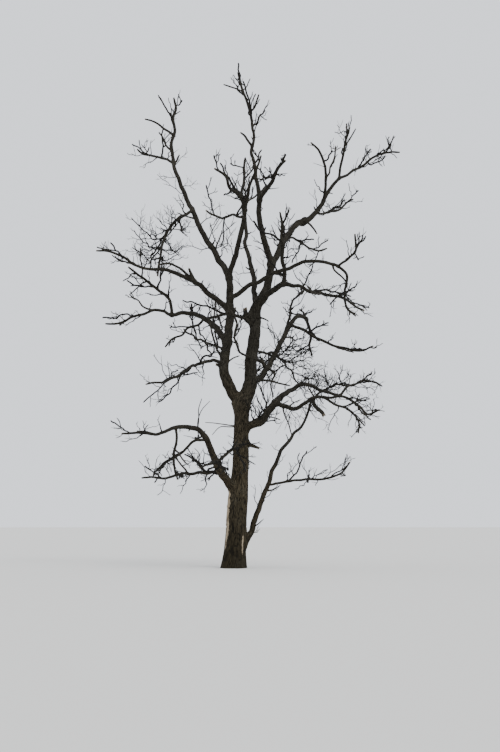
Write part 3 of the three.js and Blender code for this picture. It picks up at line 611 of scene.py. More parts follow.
# Bark and wood as surfaces, in metres
barkForm = {
    "column": {"trunk": 0.0098, "bough": 0.0125, "stub": 0.0125, "stem": 0.014},  # grid, at a limb's root
    "leastColumns": 9,
    "leastRows": 6,
    "rowShare": 1.6,  # a row is this much longer than a column is wide
    "curveSteps": 16,  # for each joint, to measure a limb's length
    "distanceSteps": 4,  # for each joint, to measure how far a point is from a limb
    "plateWidth": 0.052,  # between furrows, on a limb of plateRadius, less on thinner ones by the root
    "plateRadius": 0.36,
    "plateLength": 5.5,  # for its width
    "furrowDepth": 0.058,  # for the limb's radius
    "deepestFurrow": 0.02,
    "barkMiddle": 0.7,  # the part of the ridges that lies under the surface, for the furrows' depth
    "bareDepth": 0.75,  # how far under it bare wood lies, for that too
    "lump": 0.07,
    "sway": 0.3,  # of the surface round a limb's own line, for its thickness
    "mostSwayed": 0.17,  # thickness past which it sways no further
    "swayLength": 0.33,
    "swaySteps": (0.37, 9.5),  # through the noise, from seed to seed and from axis to axis
    "stillEnd": 0.3,  # metres at both ends over which it comes to rest
    "placeSteps": (0.37, 0.61, 0.83),  # through the noises, from seed to seed, for so many places
    "places": 50,
    "handOver": 0.35,  # metres over which a limb takes its carrier's radius on
    "collar": 0.95,  # reach of the fillet at a fork, for the thinner limb's radius
    "rootGap": 0.3,  # a root less than this outside a limb, for its own radius, makes a fork with it
    "forkReaches": 5,  # how far round a fork its fillet is looked for, for its reach
    "bareEdge": (-0.1, 0.15),  # across a bare strip, from bark to wood
    "leastBare": 0.004,  # half width below which a strip ends
    "wornTip": 0.16,
    "wornFrom": 5,  # radii before the tip
    "wornSpread": (0.6, 7, 9),  # its least share, and by the seed up to 6 ninths more
    "stoutTip": 1.55,  # of a twig mass's stem, for the skeleton's thickness there
    "tornTip": 1.6,  # jags of a broken end, for its radius
    "tornFrom": 2.2,  # radii before the tip
    "tornNoise": (1.7, 0.3),  # its scale, and its layer
    "paleEnd": 0.4,  # share of bare wood's colour on a broken end, which is grey and weathered
    "paleFrom": 0.9,  # radii before the tip
    "dives": [(0.02, 0.985), (0.06, 0.9)],  # past its end, and how wide still
}

# Layers of noise on a limb: which noise, how strong, and its scales round and along the limb
barkNoise = {
    "lumps": [(4, 1.0, 0.9, 1 / 2.4), (5, 0.6, 1.8, 1 / 1.1)],
    "edge": [(3, 0.9, 3, 5), (2, 0.5, 8, 14)],
    "wood": [(1, 0.12, 30, 3)],
}

# Furrows between bark ridges: scales of their noises round and along, how wide they are and how deep
ridgeForm = {
    "bend": (0.45, 0.9),
    "wide": (1.0, 1.0, 0.17, 1.0),
    "narrow": (1.9, 1.7, 0.13, 0.4),
    "cracks": (1.2, 4.5, 0.08, 0.2),
}

# The trunk stands level at its foot and leans only above. It swells at its foot, with buttresses, and fork
trunkForm = {"footSwell": 0.092, "footHeight": 0.5, "buttresses": 5, "relief": 0.35, "turn": 0.6,
    "forkSwell": 0.06, "forkHeight": 0.32, "levelUpTo": 0.5, "leansFrom": 2.6}

# Scars of shed limbs and burls: share along the limb, degrees round it, size, and how far it stands out
knots = {
    "trunk": [(0.30, 250, 0.13, 0.045), (0.55, 300, 0.10, 0.035), (0.47, 60, 0.12, 0.04),
        (0.72, 235, 0.11, 0.05), (0.86, 285, 0.09, 0.04), (0.22, 140, 0.14, 0.05), (0.64, 150, 0.10, 0.04)],
    "leftLeader": [(0.20, 215, 0.10, 0.05), (0.42, 330, 0.07, 0.03), (0.66, 120, 0.08, 0.035)],
    "rightLeader": [(0.16, 10, 0.13, 0.06), (0.33, 265, 0.08, 0.035), (0.55, 90, 0.09, 0.04)],
    "rightBough": [(0.35, 200, 0.07, 0.04), (0.7, 60, 0.06, 0.03)],
    "lowLeft": [(0.3, 120, 0.07, 0.04), (0.62, 300, 0.06, 0.035)],
    "rightLow": [(0.45, 270, 0.09, 0.04)],
    "leftTop": [(0.25, 180, 0.06, 0.03), (0.55, 20, 0.05, 0.03)],
}
burls = {
    "rightLeader": [(0.87, 184, 0.2, 0.2)],
    "rightBough": [(0.92, 90, 0.13, 0.08), (0.95, 250, 0.12, 0.07)],
}
ribs = {"trunk": [(0.12, 0.6, 192, 0.11, 0.08)]}  # share from and to, degrees, half width, height
knotRule = {
    "perMetre": 1.1,  # on boughs
    "along": (0.06, 0.97),
    "size": (0.35, 0.75),  # for the radius there
    "out": (0.08, 0.26),
    "seedStep": 900,
    "lengthwise": 0.75,  # what a distance along the limb counts for, so that scars are longer that way
    "hollow": (0.9, 0.45),  # depth and width of its middle, for the swelling's
    "burlNoise": (4, 3, 0.5),  # its scales round and along, and its layer
    "burlRough": 0.5,
}

# Where the bark has come off: share along the limb from and to, degrees round it, and half its width
bareStrips = {
    "trunk": [(0.1, 0.31, 203, 0.08), (0.25, 0.5, 196, 0.1), (0.08, 0.2, 318, 0.04),
        (0.58, 0.8, 120, 0.06)],
    "leftLeader": [(0.3, 0.5, 60, 0.035)],
    "rightLeader": [(0.25, 0.6, 140, 0.04)],
    "lowLeft": [(0.35, 0.6, 70, 0.03)],
    "footStem": [(0.04, 0.2, 200, 0.03)],
}


# Gradient noise: at each corner of a unit cell a seeded direction times the offset from there, blended by
# the fade 6t^5 - 15t^4 + 10t^3 on each axis
def makeNoise(seed):
    random = np.random.default_rng(seed)
    order = np.tile(random.permutation(256), 2)
    slopes = unit(random.normal(size=(256, 3)))

    def noise(*place):
        place = together(*place)
        cell = np.floor(place).astype(int)
        offset = place - cell
        fade = offset ** 3 * (offset * (offset * 6 - 15) + 10)
        total = 0
        for corner in range(8):
            step = np.array([corner & 1, corner >> 1 & 1, corner >> 2])
            x, y, z = np.moveaxis((cell + step) & 255, -1, 0)
            slope = slopes[order[order[order[x] + y] + z]]
            weight = np.where(step, fade, 1 - fade).prod(axis=-1)
            total = total + weight * (slope * (offset - step)).sum(axis=-1)
        return total

    return noise


noises = [makeNoise(seed) for seed in range(11, 17)]


# Catmull-Rom curves through joints a, b, c, d, one or many at once, with one more joint before and after:
# half of 2b + (c - a)t + (2a - 5b + 4c - d)t^2 + (3b - a - 3c + d)t^3, and the direction of its slope
def curveAt(ring, t):
    step = np.clip(t.astype(int), 0, ring.shape[-2] - 4)
    t = (t - step)[:, None]
    a, b, c, d = (ring[..., step + shift, :] for shift in range(4))
    square, cube = 2 * a - 5 * b + 4 * c - d, 3 * b - a - 3 * c + d
    points = 0.5 * (2 * b + (c - a) * t + square * t ** 2 + cube * t ** 3)
    return points, unit((c - a) + 2 * square * t + 3 * cube * t ** 2)


# Axes of each ring, carried along without twist: the last axis less its share along the new heading. They
# start from x, or from y where the heading runs nearly along x
def carryAxes(headings, across=None):
    if across is None:
        alongX = np.abs(headings[..., 0, :1]) > growth["steepest"]
        across = np.where(alongX, (0, 1.0, 0), (1.0, 0, 0))
    carried = np.zeros_like(headings)
    for index in range(headings.shape[-2]):
        heading = headings[..., index, :]
        across = unit(across - heading * (across * heading).sum(axis=-1, keepdims=True))
        carried[..., index, :] = across
    return carried, np.cross(headings, carried)


# Outward from the middle of each ring: across * cos(turn) + over * sin(turn)
def outwardFrom(acrosses, overs, cosine, sine):
    return acrosses[..., None, :] * cosine[:, None] + overs[..., None, :] * sine[:, None]


def running(steps):
    return np.insert(np.cumsum(steps, axis=-1), 0, 0, axis=-1)


def lengthsAlong(points):
    return running(np.linalg.norm(np.diff(points, axis=-2), axis=-1))


# The limb that carries its carrier on: the thickest for its straightness of those at the tip
def findLeader(carrier):
    tipHeading = placeOn(carrier["line"], 1)[1]
    best, bestScore = None, 0
    for limb in limbs.values():
        if limb["on"] == carrier["name"] and limb["at"] >= growth["growsOn"]:
            straight = placeOn(limb["line"], 0)[1] @ tipHeading
            if straight > growth["leastStraight"] and straight * limb["thick"] > bestScore:
                best, bestScore = limb, straight * limb["thick"]
    return best


# Rings of a limb: evenly spaced along its curve, which sways by a noise except at its ends, with a radius
# that tapers evenly and takes over its carrier's by exp(-distance / handOver). Place runs along in metres,
# in radii and in bark plates
def layRings(limb):
    carrier = limbs.get(limb["on"])
    carriesOn = carrier is not None and carrier["leader"] is limb
    joints = limb["line"].copy()
    if limb["kind"] == "trunk":
        joints[:, 2] = np.linspace(0, joints[-1][2], len(joints))
    leader = findLeader(limb)
    joints[-1] = leader["line"][0] if leader else joints[-1]
    before = carrier["joints"][-2] if carriesOn else 2 * joints[0] - joints[1]
    after = leader["line"][1] if leader else 2 * joints[-1] - joints[-2]
    ring = np.concatenate([[before], joints, [after]])
    girth = math.pi * limb["thick"]
    columns = max(barkForm["leastColumns"], round(girth / barkForm["column"][limb["kind"]]))
    spacing = girth / columns * barkForm["rowShare"]

    dense = np.linspace(0, len(joints) - 1, barkForm["curveSteps"] * len(joints))
    lengths = lengthsAlong(curveAt(ring, dense)[0])
    rows = max(barkForm["leastRows"], round(lengths[-1] / spacing))
    travelled = np.linspace(0, lengths[-1], rows + 1)
    t = np.interp(travelled, lengths, dense)
    centres, headings = curveAt(ring, t)
    share = t / (len(joints) - 1)
    radius = thickAt(limb, share) / 2
    if limb["kind"] == "stem":
        radius = radius * between((1, barkForm["stoutTip"]), share)
    if limb["kind"] == "trunk":
        bends = smoothStep(trunkForm["levelUpTo"], trunkForm["leansFrom"], centres[:, 2])[:, None]
        headings = unit(headings * bends + np.array([0, 0, 1]) * (1 - bends))
        radius = radius + trunkForm["footSwell"] * np.exp(-centres[:, 2] / trunkForm["footHeight"])
    else:
        still, (bySeed, byAxis) = barkForm["stillEnd"], barkForm["swaySteps"]
        inside = smoothStep(0, still, travelled) * smoothStep(0, still, lengths[-1] - travelled)
        phase = travelled / barkForm["swayLength"]
        sway = [noises[0](phase, limb["seed"] * bySeed, axis * byAxis) for axis in range(3)]
        size = barkForm["sway"] * np.minimum(2 * radius, barkForm["mostSwayed"])
        centres = centres + np.stack(sway, axis=1) * (size * inside)[:, None]
        headings = unit(np.gradient(centres, axis=0))
    start, across = np.array(barkForm["placeSteps"]) * (limb["seed"] % barkForm["places"]), None
    if carriesOn:
        radius = radius + (carrier["radius"][-1] - radius[0]) * np.exp(-travelled / barkForm["handOver"])
        start, across = carrier["place"][-1], carrier["acrosses"][-1]
    acrosses, overs = carryAxes(headings, across)
    plates = barkForm["plateWidth"] * np.sqrt(radius / barkForm["plateRadius"])
    step = np.diff(travelled)
    radii = running(2 * step / (radius[1:] + radius[:-1]))
    lengthwise = running(2 * step / (plates[1:] + plates[:-1]) / barkForm["plateLength"])
    limb.update(leader=leader, carriesOn=carriesOn, joints=joints, columns=columns, centres=centres,
        headings=headings, travelled=travelled, share=share, radius=radius, plates=plates, acrosses=acrosses,
        overs=overs, place=start + np.stack([travelled, radii, lengthwise], axis=1), forks=[])


# Signed distance from points to a limb: to the nearest of its stretches, less the radius there
def distanceTo(points, limb):
    count = barkForm["distanceSteps"] * len(limb["joints"])
    picked = np.unique(np.linspace(0, len(limb["centres"]) - 1, count).astype(int))
    centres, radius = limb["centres"][picked], limb["radius"][picked]
    nearest = np.full(len(points), np.inf)
    for a, b, thick, thin in zip(centres[:-1], centres[1:], radius[:-1], radius[1:]):
        along = (((points - a) @ (b - a)) / ((b - a) @ (b - a))).clip(0, 1)
        gap = np.linalg.norm(points - a - along[:, None] * (b - a), axis=1)
        nearest = np.minimum(nearest, gap - thick - (thin - thick) * along)
    return nearest


# Fillets at forks: a point at a distance d from the other limb moves out by reach / 2 * (1 - d / reach)^2
def collarPush(limb, points):
    push = np.zeros(len(points))
    for fork in limb["forks"]:
        reach = fork["reach"]
        near = np.linalg.norm(points - fork["root"], axis=1) < fork["within"]
        if near.any():
            distance = np.min([distanceTo(points[near], other) for other in fork["others"]], axis=0)
            closeness = np.clip(1 - np.abs(distance) / reach, 0, 1)
            push[near] = np.maximum(push[near], reach / 2 * closeness ** 2)
    return push


# A side limb shares a fork with every limb that its root lies in or close by
def findForks(limb):
    root, thick = limb["centres"][0], limb["thick"] / 2
    if limb["carriesOn"] or limb["kind"] == "trunk":
        return
    hosts = [other for other in limbs.values() if other is not limb and other["on"] != limb["name"]
        and distanceTo(root[None], other)[0] < barkForm["rootGap"] * thick]
    reach = barkForm["collar"] * thick
    within = 2 * max([other["radius"].max() for other in hosts] + [thick]) + barkForm["forkReaches"] * reach
    for owner, others in [(limb, hosts)] + [(host, [limb]) for host in hosts]:
        if others:
            owner["forks"].append({"root": root, "others": others, "reach": reach, "within": within})


# Turns past a place round the limb, from minus to plus half a turn
def turnsPast(turns, degrees):
    return (turns - math.radians(degrees) + math.pi) % (2 * math.pi) - math.pi


# A scar is a ring-shaped swelling round a hollow: out * (exp(-r^2) - depth * exp(-(r / width)^2)), and a
# burl a rough dome, with r the distance from its middle for its size. A rib is out * (1 - along^2)^2
# * exp(-(aside / half width)^2)
def knotSwell(limb, turns):
    swell = np.zeros((len(limb["radius"]), len(turns)))
    depth, width = knotRule["hollow"]
    around, lengthwise, layer = knotRule["burlNoise"]
    for kind in (knots, burls):
        for share, angle, size, out in kind.get(limb["name"], []):
            row = np.argmin(np.abs(limb["share"] - share))
            aside = turnsPast(turns, angle) * limb["radius"][row]
            along = (limb["travelled"] - limb["travelled"][row])[:, None]
            r = np.hypot(aside, along * knotRule["lengthwise"]) / size
            dome = np.exp(-r * r)
            if kind is knots:
                swell += out * (dome - depth * np.exp(-(r / width) ** 2))
            else:
                rough = noises[5](turns * around, along / size * lengthwise, layer)
                swell += out * dome ** 2 * (1 + knotRule["burlRough"] * rough)
    for first, last, angle, halfWidth, out in ribs.get(limb["name"], []):
        aside = turnsPast(turns, angle) * limb["radius"][:, None]
        along = ((2 * limb["share"] - first - last) / (last - first)).clip(-1, 1)[:, None]
        swell += out * (1 - along ** 2) ** 2 * np.exp(-(aside / halfWidth) ** 2)
    return swell


# Further scars by rule, with a generator of their own
def addKnots(limb):
    draw = makeDraws(limb["seed"] + knotRule["seedStep"])
    placed = knots.setdefault(limb["name"], [])
    for index in range(math.floor(knotRule["perMetre"] * limb["travelled"][-1])):
        share = between(knotRule["along"], draw())
        radius = thickAt(limb, share) / 2
        size, out = between(knotRule["size"], draw()) * radius, between(knotRule["out"], draw()) * radius
        placed.append((share, 360 * draw(), size, out))


# Bare wood: 1 inside a spindle-shaped strip, with an edge made ragged by noise
def bareMask(limb, turns, edge):
    bare = np.zeros((len(limb["radius"]), len(turns)))
    for first, last, angle, halfWidth in bareStrips.get(limb["name"], []):
        aside = np.abs(turnsPast(turns, angle)) * limb["radius"][:, None]
        along = (2 * limb["share"] - first - last) / (last - first)
        width = (halfWidth * np.sqrt(np.clip(1 - along ** 2, 0, 1)))[:, None]
        depth = 1 - aside / np.maximum(width, barkForm["leastBare"])
        strip = smoothStep(*barkForm["bareEdge"], depth + edge)
        bare = np.maximum(bare, strip * (width > barkForm["leastBare"]))
    return bare


# Noise on a limb: the sum over its layers of strength * noise(circle * round, distance * along)
def layered(name, cosine, sine, distance):
    return sum(strength * noises[index](cosine * around, sine * around, distance * along)
        for index, strength, around, along in barkNoise[name])


# Interlaced bark ridges: furrows lie where a noise stretched along the limb passes through zero
def barkRidges(x, y, z):
    around, along = ridgeForm["bend"]
    bend = noises[0](x * around, y * around, z * along)
    ridge = 1
    for index, name, bent in ((1, "wide", bend), (2, "narrow", -bend), (3, "cracks", 0)):
        around, along, width, depth = ridgeForm[name]
        away = np.abs(noises[index](x * around + bent, y * around - bent, z * along))
        ridge = ridge * (1 - depth + depth * smoothStep(0, width, away))
    return ridge


# Where one limb carries another on, each dives under the other: two more rings past its end, ever narrower
def addDive(grids, limb, row):
    centre, away = limb["centres"][row], limb["headings"][row] * (1 if row else -1)
    extras = {key: np.stack([grid[row], grid[row]]) for key, grid in grids.items()}
    for index, (distance, shrink) in enumerate(barkForm["dives"]):
        extras["point"][index] = centre + (grids["point"][row] - centre) * shrink + away * distance
    if row:
        return {key: np.concatenate([grid, extras[key]]) for key, grid in grids.items()}
    return {key: np.concatenate([extras[key][::-1], grid]) for key, grid in grids.items()}


# The surface of a limb on a grid of rings and turns: centre + outward * (radius + lumps + swellings + fillet
# + (ridge - its middle) * depth), closed at both ends by a point
def barkSurface(limb):
    turns, cosine, sine = circle(limb["columns"])
    outward = outwardFrom(limb["acrosses"], limb["overs"], cosine, sine)
    radius, travelled = limb["radius"][:, None], limb["travelled"][:, None]
    metres, radii, plates = (limb["place"][:, column][:, None] for column in range(3))
    around = radius / limb["plates"][:, None]
    ridge = barkRidges(cosine * around, sine * around, plates)
    bare = bareMask(limb, turns, layered("edge", cosine, sine, metres))

    size = radius + barkForm["lump"] * radius * layered("lumps", cosine, sine, radii)
    size = size + knotSwell(limb, turns)
    if limb["kind"] == "trunk":
        height = limb["centres"][:, 2][:, None]
        buttress = trunkForm["relief"] * np.cos(trunkForm["buttresses"] * turns - trunkForm["turn"])
        size = size + trunkForm["footSwell"] * np.exp(-height / trunkForm["footHeight"]) * buttress
    if "spread" in limb:
        away = travelled if limb["carriesOn"] else travelled[-1] - travelled
        size = size + limb["spread"] * np.exp(-away / trunkForm["forkHeight"]) * cosine ** 2
    axis = limb["centres"][:, None]
    points = axis + outward * size[..., None]
    push = collarPush(limb, points.reshape(-1, 3)).reshape(size.shape)
    wood = layered("wood", cosine, sine, metres)
    relief = (ridge - barkForm["barkMiddle"]) * (1 - bare) + (wood - barkForm["bareDepth"]) * bare
    depth = np.minimum(barkForm["furrowDepth"] * radius, barkForm["deepestFurrow"])
    points = points + outward * (push + relief * depth)[..., None]

    if not limb["leader"]:
        tip, toEnd = radius[-1], travelled[-1] - travelled
        least, steps, parts = barkForm["wornSpread"]
        worn = barkForm["wornTip"] * smoothStep(barkForm["wornFrom"] * tip, 0, toEnd)
        worn = 1 - worn * (least + (limb["seed"] % steps) / parts)
        scale, layer = barkForm["tornNoise"]
        torn = noises[0](cosine * scale + limb["seed"], sine * scale, layer)
        torn = torn * smoothStep(barkForm["tornFrom"] * tip, 0, toEnd) * tip * barkForm["tornTip"]
        points = axis + (points - axis) * worn[..., None]
        points = points + limb["headings"][:, None] * torn[..., None]
        bare = np.maximum(bare, barkForm["paleEnd"] * smoothStep(barkForm["paleFrom"] * tip, 0, toEnd))
    straight = together(cosine * radius, sine * radius, metres)
    # The ridge mask darkens the colour in the furrows: partly their own colour, partly painted shade
    grids = {"point": points, "straight": straight, "ridge": ridge * (1 - bare), "bare": bare}
    if limb["carriesOn"]:
        grids = addDive(grids, limb, 0)
    if limb["leader"]:
        grids = addDive(grids, limb, -1)
    return gridPatch({key: grid[None] for key, grid in grids.items()})


# Faces of a grid that closes round its turns: quads between its rings, and at each end a fan to a point in
# the middle
def gridFaces(rows, columns):
    index = np.arange(rows * columns).reshape(rows, columns)
    right = np.roll(index, -1, axis=1)
    quads = np.stack([index[:-1], right[:-1], right[1:], index[1:]], axis=-1).reshape(-1, 4)
    first, last = np.full(columns, rows * columns), np.full(columns, rows * columns + 1)
    fans = [np.stack([right[0], index[0], first], axis=-1), np.stack([index[-1], right[-1], last], axis=-1)]
    return quads, np.concatenate(fans)


# A patch is a set of points with their values, and faces. Many tubes of one grid make one patch: the
# values of each ring's turns, then those of its two ends' middles, tube after tube
def gridPatch(grids, tones=0):
    tubes, rows, columns = grids["ridge"].shape
    quads, fans = gridFaces(rows, columns)
    shift = np.arange(tubes)[:, None, None] * (rows * columns + 2)
    patch = {"quads": (quads + shift).reshape(-1, 4), "fans": (fans + shift).reshape(-1, 3)}
    for key, grid in grids.items():
        ends = grid[:, [0, -1]].mean(axis=2)
        flat = grid.reshape(tubes, rows * columns, -1)
        patch[key] = np.concatenate([flat, ends.reshape(tubes, 2, -1)], axis=1).reshape(-1, flat.shape[-1])
    patch["tone"] = np.repeat(np.zeros(tubes, int) + tones, rows * columns + 2)
    return patch


# One mesh of many patches: points one patch after another, and face corners moved up to match
def buildMesh(name, patches, materials, nodes):
    def joined(key, shifts):
        return np.concatenate([patch[key] + shift for patch, shift in zip(patches, shifts)])

    starts = running([len(patch["point"]) for patch in patches])
    none = [0] * len(patches)
    quads, fans, tones = joined("quads", starts), joined("fans", starts), joined("tone", none)
    mesh = bpy.data.meshes.new(name)
    mesh.vertices.add(starts[-1])
    mesh.vertices.foreach_set("co", joined("point", none).ravel())
    mesh.loops.add(quads.size + fans.size)
    mesh.loops.foreach_set("vertex_index", np.concatenate([quads.ravel(), fans.ravel()]))
    mesh.polygons.add(len(quads) + len(fans))
    corners = np.concatenate([np.full(len(quads), 4), np.full(len(fans), 3)])
    mesh.polygons.foreach_set("loop_start", running(corners)[:-1])
    for material in materials:
        mesh.materials.append(material)
    mesh.polygons.foreach_set("material_index", np.concatenate([tones[quads[:, 0]], tones[fans[:, 0]]]))
    mesh.update(calc_edges=True)
    mesh.shade_smooth()
    for key, kind, field in (("straight", "FLOAT_VECTOR", "vector"), ("ridge", "FLOAT", "value"),
            ("bare", "FLOAT", "value")):
        mesh.attributes.new(key, kind, "POINT").data.foreach_set(field, joined(key, none).ravel())
    piece = addObject(name, mesh)
    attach(piece, "root")
    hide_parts(*nodes)
    return 2 * len(quads) + len(fans)


# Twigs: how they crook, how far they may pass their mass's solid, and how they are dealt out in tones
twigForm = {
    "seedStep": 5000,
    "crook": 0.07,  # sideways between joints, for the stretch's length
    "mostStub": 0.06,
    "stubTaper": 0.7,
    "stoutness": (1.2, 1.6),  # of a coarse twig's root and tip, for the skeleton's
    "insideBox": 0.02,
    "nearby": 0.3,  # metres round a mass within which other limbs are kept clear of
    "leastGap": 0.13,  # a coarse twig ends further from its stem than this, or than half its length
    "pointed": 0.45,  # the last ring, for the radius there
    "flare": 0.4,  # at a twig's root, for its radius
    "knobs": 0.14,
    "knobLength": 2.2,  # for the twig's thickness
    "knobScale": 0.7,
    "knobStep": 7.31,  # through the noise, from twig to twig
    "ridge": (0.6, 0.8),  # its middle, and how far it follows the knobs, so that the dips between them are darker: partly painted shade
    "tones": (0.62, 0.9),  # shares of sprays up to which they are dark, then brown, then pale
    "sides": ((0.05, 9), (0.032, 7), (0.018, 5), (0.009, 4), (0, 3)),  # of a tube at least this thick
    "rings": ((0.032, 4), (0.018, 2), (0, 1)),  # on each stretch of a twig at least this thick
    "clean": ("trunk", "leftLeader", "rightLeader", "rightTrunk"),  # limbs with no fine twigs of their own
}
crownRegions = {"leftOf": -0.4, "rightOf": 1.9, "highAbove": 9.5}  # metres from the trunk's foot


def pick(steps, thick):
    return next(value for least, value in steps if thick >= least)


# A twig's line with a seeded crook between each two of its joints
def crooked(line, draw):
    points = [line[0]]
    for a, b in zip(line[:-1], line[1:]):
        size = twigForm["crook"] * np.linalg.norm(b - a)
        points += [between((a, b), share) + randomOffset(draw, size) for share in (1 / 3, 2 / 3)] + [b]
    return np.array(points)


# Fine twigs of one limb: they grow on from its line and its coarse twigs, inside the reach of its solid
def growFineTwigs(limb):
    draw = makeDraws(limb["seed"] + twigForm["seedStep"])
    usual = usualSpray["stem" if limb["kind"] == "stem" else "bough"]
    spray = {**dict(zip(sprayColumns, usual)), **dict(zip(sprayColumns, sprays.get(limb["name"], ())))}
    curl = spray.get("curl", limb.get("rise"))
    lowest, highest = np.array(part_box(limb["name"])) + [[-spray["past"]], [spray["past"]]]
    lowest = np.maximum(lowest, np.array(cadBox[0]) + twigForm["insideBox"])
    highest = np.minimum(highest, np.array(cadBox[1]) - twigForm["insideBox"])
    lowest[2] = max(lowest[2], growth["lowestTwig"])
    starts, ends, radius = othersThan(limb["name"])
    margin = twigForm["nearby"]
    below, above = np.minimum(starts, ends) < highest + margin, np.maximum(starts, ends) > lowest - margin
    near = (below & above).all(axis=1)
    others = starts[near], ends[near], radius[near]
    fine = []

    def accept(twig):
        inside = (twig["line"] >= lowest).all() and (twig["line"] <= highest).all()
        fits = inside and isClear(twig, others)
        if fits:
            fine.append({**twig, "tone": tone})
        return fits

    stem = limb["line"]
    gaps = [stretchGaps(*twig["line"][-2:], stem[:-1], stem[1:]).min() for twig in limb["twigs"]]
    limb["twigs"] = [twig for twig, gap in zip(limb["twigs"], gaps)
        if gap > min(0.5 * twig["size"], twigForm["leastGap"])]
    for twig in limb["twigs"]:
        share = draw()
        tone = sum(share > step for step in twigForm["tones"])
        twig["tone"] = tone
        twig["line"] = crooked(twig["line"], draw)
        twig["thick"] *= twigForm["stoutness"][0]
        twig["thin"] *= twigForm["stoutness"][1]
        twig["spray"] = spray["count"], spray["length"]
        growTwigs(twig, fineTwigs, 0, draw, curl, accept)
    tone = 0
    limb["spray"] = spray["count"], spray["length"]
    if limb["kind"] == "stem":
        growTwigs(limb, fineTwigs, 0, draw, curl, accept)
    elif limb["name"] not in twigForm["clean"]:
        growTwigs(limb, boughTwigs, 0, draw, curl, accept)
    limb["fine"] = fine + limb["twigs"]
    limb["stubs"], limb["spray"] = [], (1, 1)
    if limb["kind"] != "trunk":
        growTwigs(limb, brokenStubs, 0, draw, 0, lambda twig: limb["stubs"].append({**twig, "tone": 0}))
    for stub in limb["stubs"]:
        stub["thick"] = min(stub["thick"], twigForm["mostStub"])
        stub["thin"] = min(stub["thin"], twigForm["stubTaper"] * twigForm["mostStub"])


# Tubes along many twigs at once: curves through their joints, rings at right angles to them, radius =
# taper * (1 + knobs) + flare * exp(-distance from the carrier's surface / thick)
def twigTubes(twigs, sides, perStretch):
    joints = np.array([twig["line"] for twig in twigs])
    thick, thin, sunk = (
        np.array([twig[key] for twig in twigs])[:, None] for key in ("thick", "thin", "sunk"))
    before, after = 2 * joints[:, :1] - joints[:, 1:2], 2 * joints[:, -1:] - joints[:, -2:-1]
    stretches = joints.shape[1] - 1
    t = np.linspace(0, stretches, stretches * perStretch + 1)
    centres, headings = curveAt(np.concatenate([before, joints, after], axis=1), t)
    travelled = lengthsAlong(centres)
    turns, cosine, sine = circle(sides)
    outward = outwardFrom(*carryAxes(headings), cosine, sine)

    radius = between((thick, thin), t / stretches) / 2
    radius[:, -1] *= twigForm["pointed"]
    flare = twigForm["flare"] * thick / 2 * np.exp(-np.maximum(travelled - sunk, 0) / thick)
    offset = np.arange(len(twigs))[:, None, None] * twigForm["knobStep"]
    along = (travelled / thick)[..., None] / twigForm["knobLength"]
    knobs = noises[4](cosine * twigForm["knobScale"] + offset, sine * twigForm["knobScale"], along)
    size = radius[..., None] * (1 + twigForm["knobs"] * knobs) + flare[..., None]
    middle, follows = twigForm["ridge"]
    grids = {
        "point": centres[:, :, None] + outward * size[..., None],
        "straight": together(cosine * size, sine * size, travelled[..., None] + offset),
        "ridge": np.clip(middle + follows * knobs, 0, 1),
        "bare": np.zeros(size.shape),
    }
    return gridPatch(grids, np.array([twig["tone"] for twig in twigs]))


# Twigs of one number of joints, sides and rings go into one patch together
def twigPatches(twigs):
    groups = {}
    for twig in twigs:
        shape = pick(twigForm["sides"], twig["thick"]), pick(twigForm["rings"], twig["thick"])
        groups.setdefault((len(twig["line"]), *shape), []).append(twig)
    return [twigTubes(group, sides, rings) for (joints, sides, rings), group in groups.items()]


# The part of the crown that a limb's middle lies in
def regionOf(limb):
    middle = limb["centres"][len(limb["centres"]) // 2]
    side = "Middle"
    if middle[0] < crownRegions["leftOf"]:
        side = "Left"
    if middle[0] > crownRegions["rightOf"]:
        side = "Right"
    return ("crownHigh" if middle[2] > crownRegions["highAbove"] else "crownLow") + side


# Colours and scales of bark and wood
barkLooks = {
    # Furrow: partly the bark's own darker colour, partly painted shade in the recesses between the ridges
    "furrow": (0.0055, 0.0046, 0.0030),
    # Crest colour, set light so that the trunk's middle looks lit: partly the bark's own colour, partly
    # painted light
    "crest": (0.080, 0.064, 0.038),
    "stain": (0.052, 0.039, 0.022),
    # Painted shade: towards the foot the crest darkens to this colour, standing in for shade near the ground
    "footShadedCrest": (0.028, 0.0220, 0.0108),
    "footBelow": (0.3, 2.8),  # metres up, from where the painted shade at the foot is darkest to where the bark has the crest colour
    # Weathered grey and painted shade: high up and out on the boughs the crest darkens to this colour
    "weatheredAndShadedCrest": (0.034, 0.0302, 0.0225),
    "weatheredAndShadedAbove": (5.2, 8.4),  # from where the bark darkens again: weathered grey, and painted shade of the backlit upper limbs
    "aside": 2.4,  # metres up that a metre out from the trunk counts for
    "wood": (0.44, 0.36, 0.25),
    "crack": (0.06, 0.042, 0.032),
    "dust": (0.10, 0.092, 0.068),
    "grain": 52.0,
    "relief": 0.005,
    "bump": 0.8,
    "shine": 0.15,
}
twigLooks = {
    "twigDark": {"furrow": (0.006, 0.0055, 0.0046), "crest": (0.019, 0.0170, 0.0140)},
    "twigBrown": {"furrow": (0.0075, 0.0066, 0.0052), "crest": (0.027, 0.0232, 0.0180)},
    "twigPale": {"furrow": (0.014, 0.0122, 0.0095), "crest": (0.048, 0.0415, 0.0325)},
}

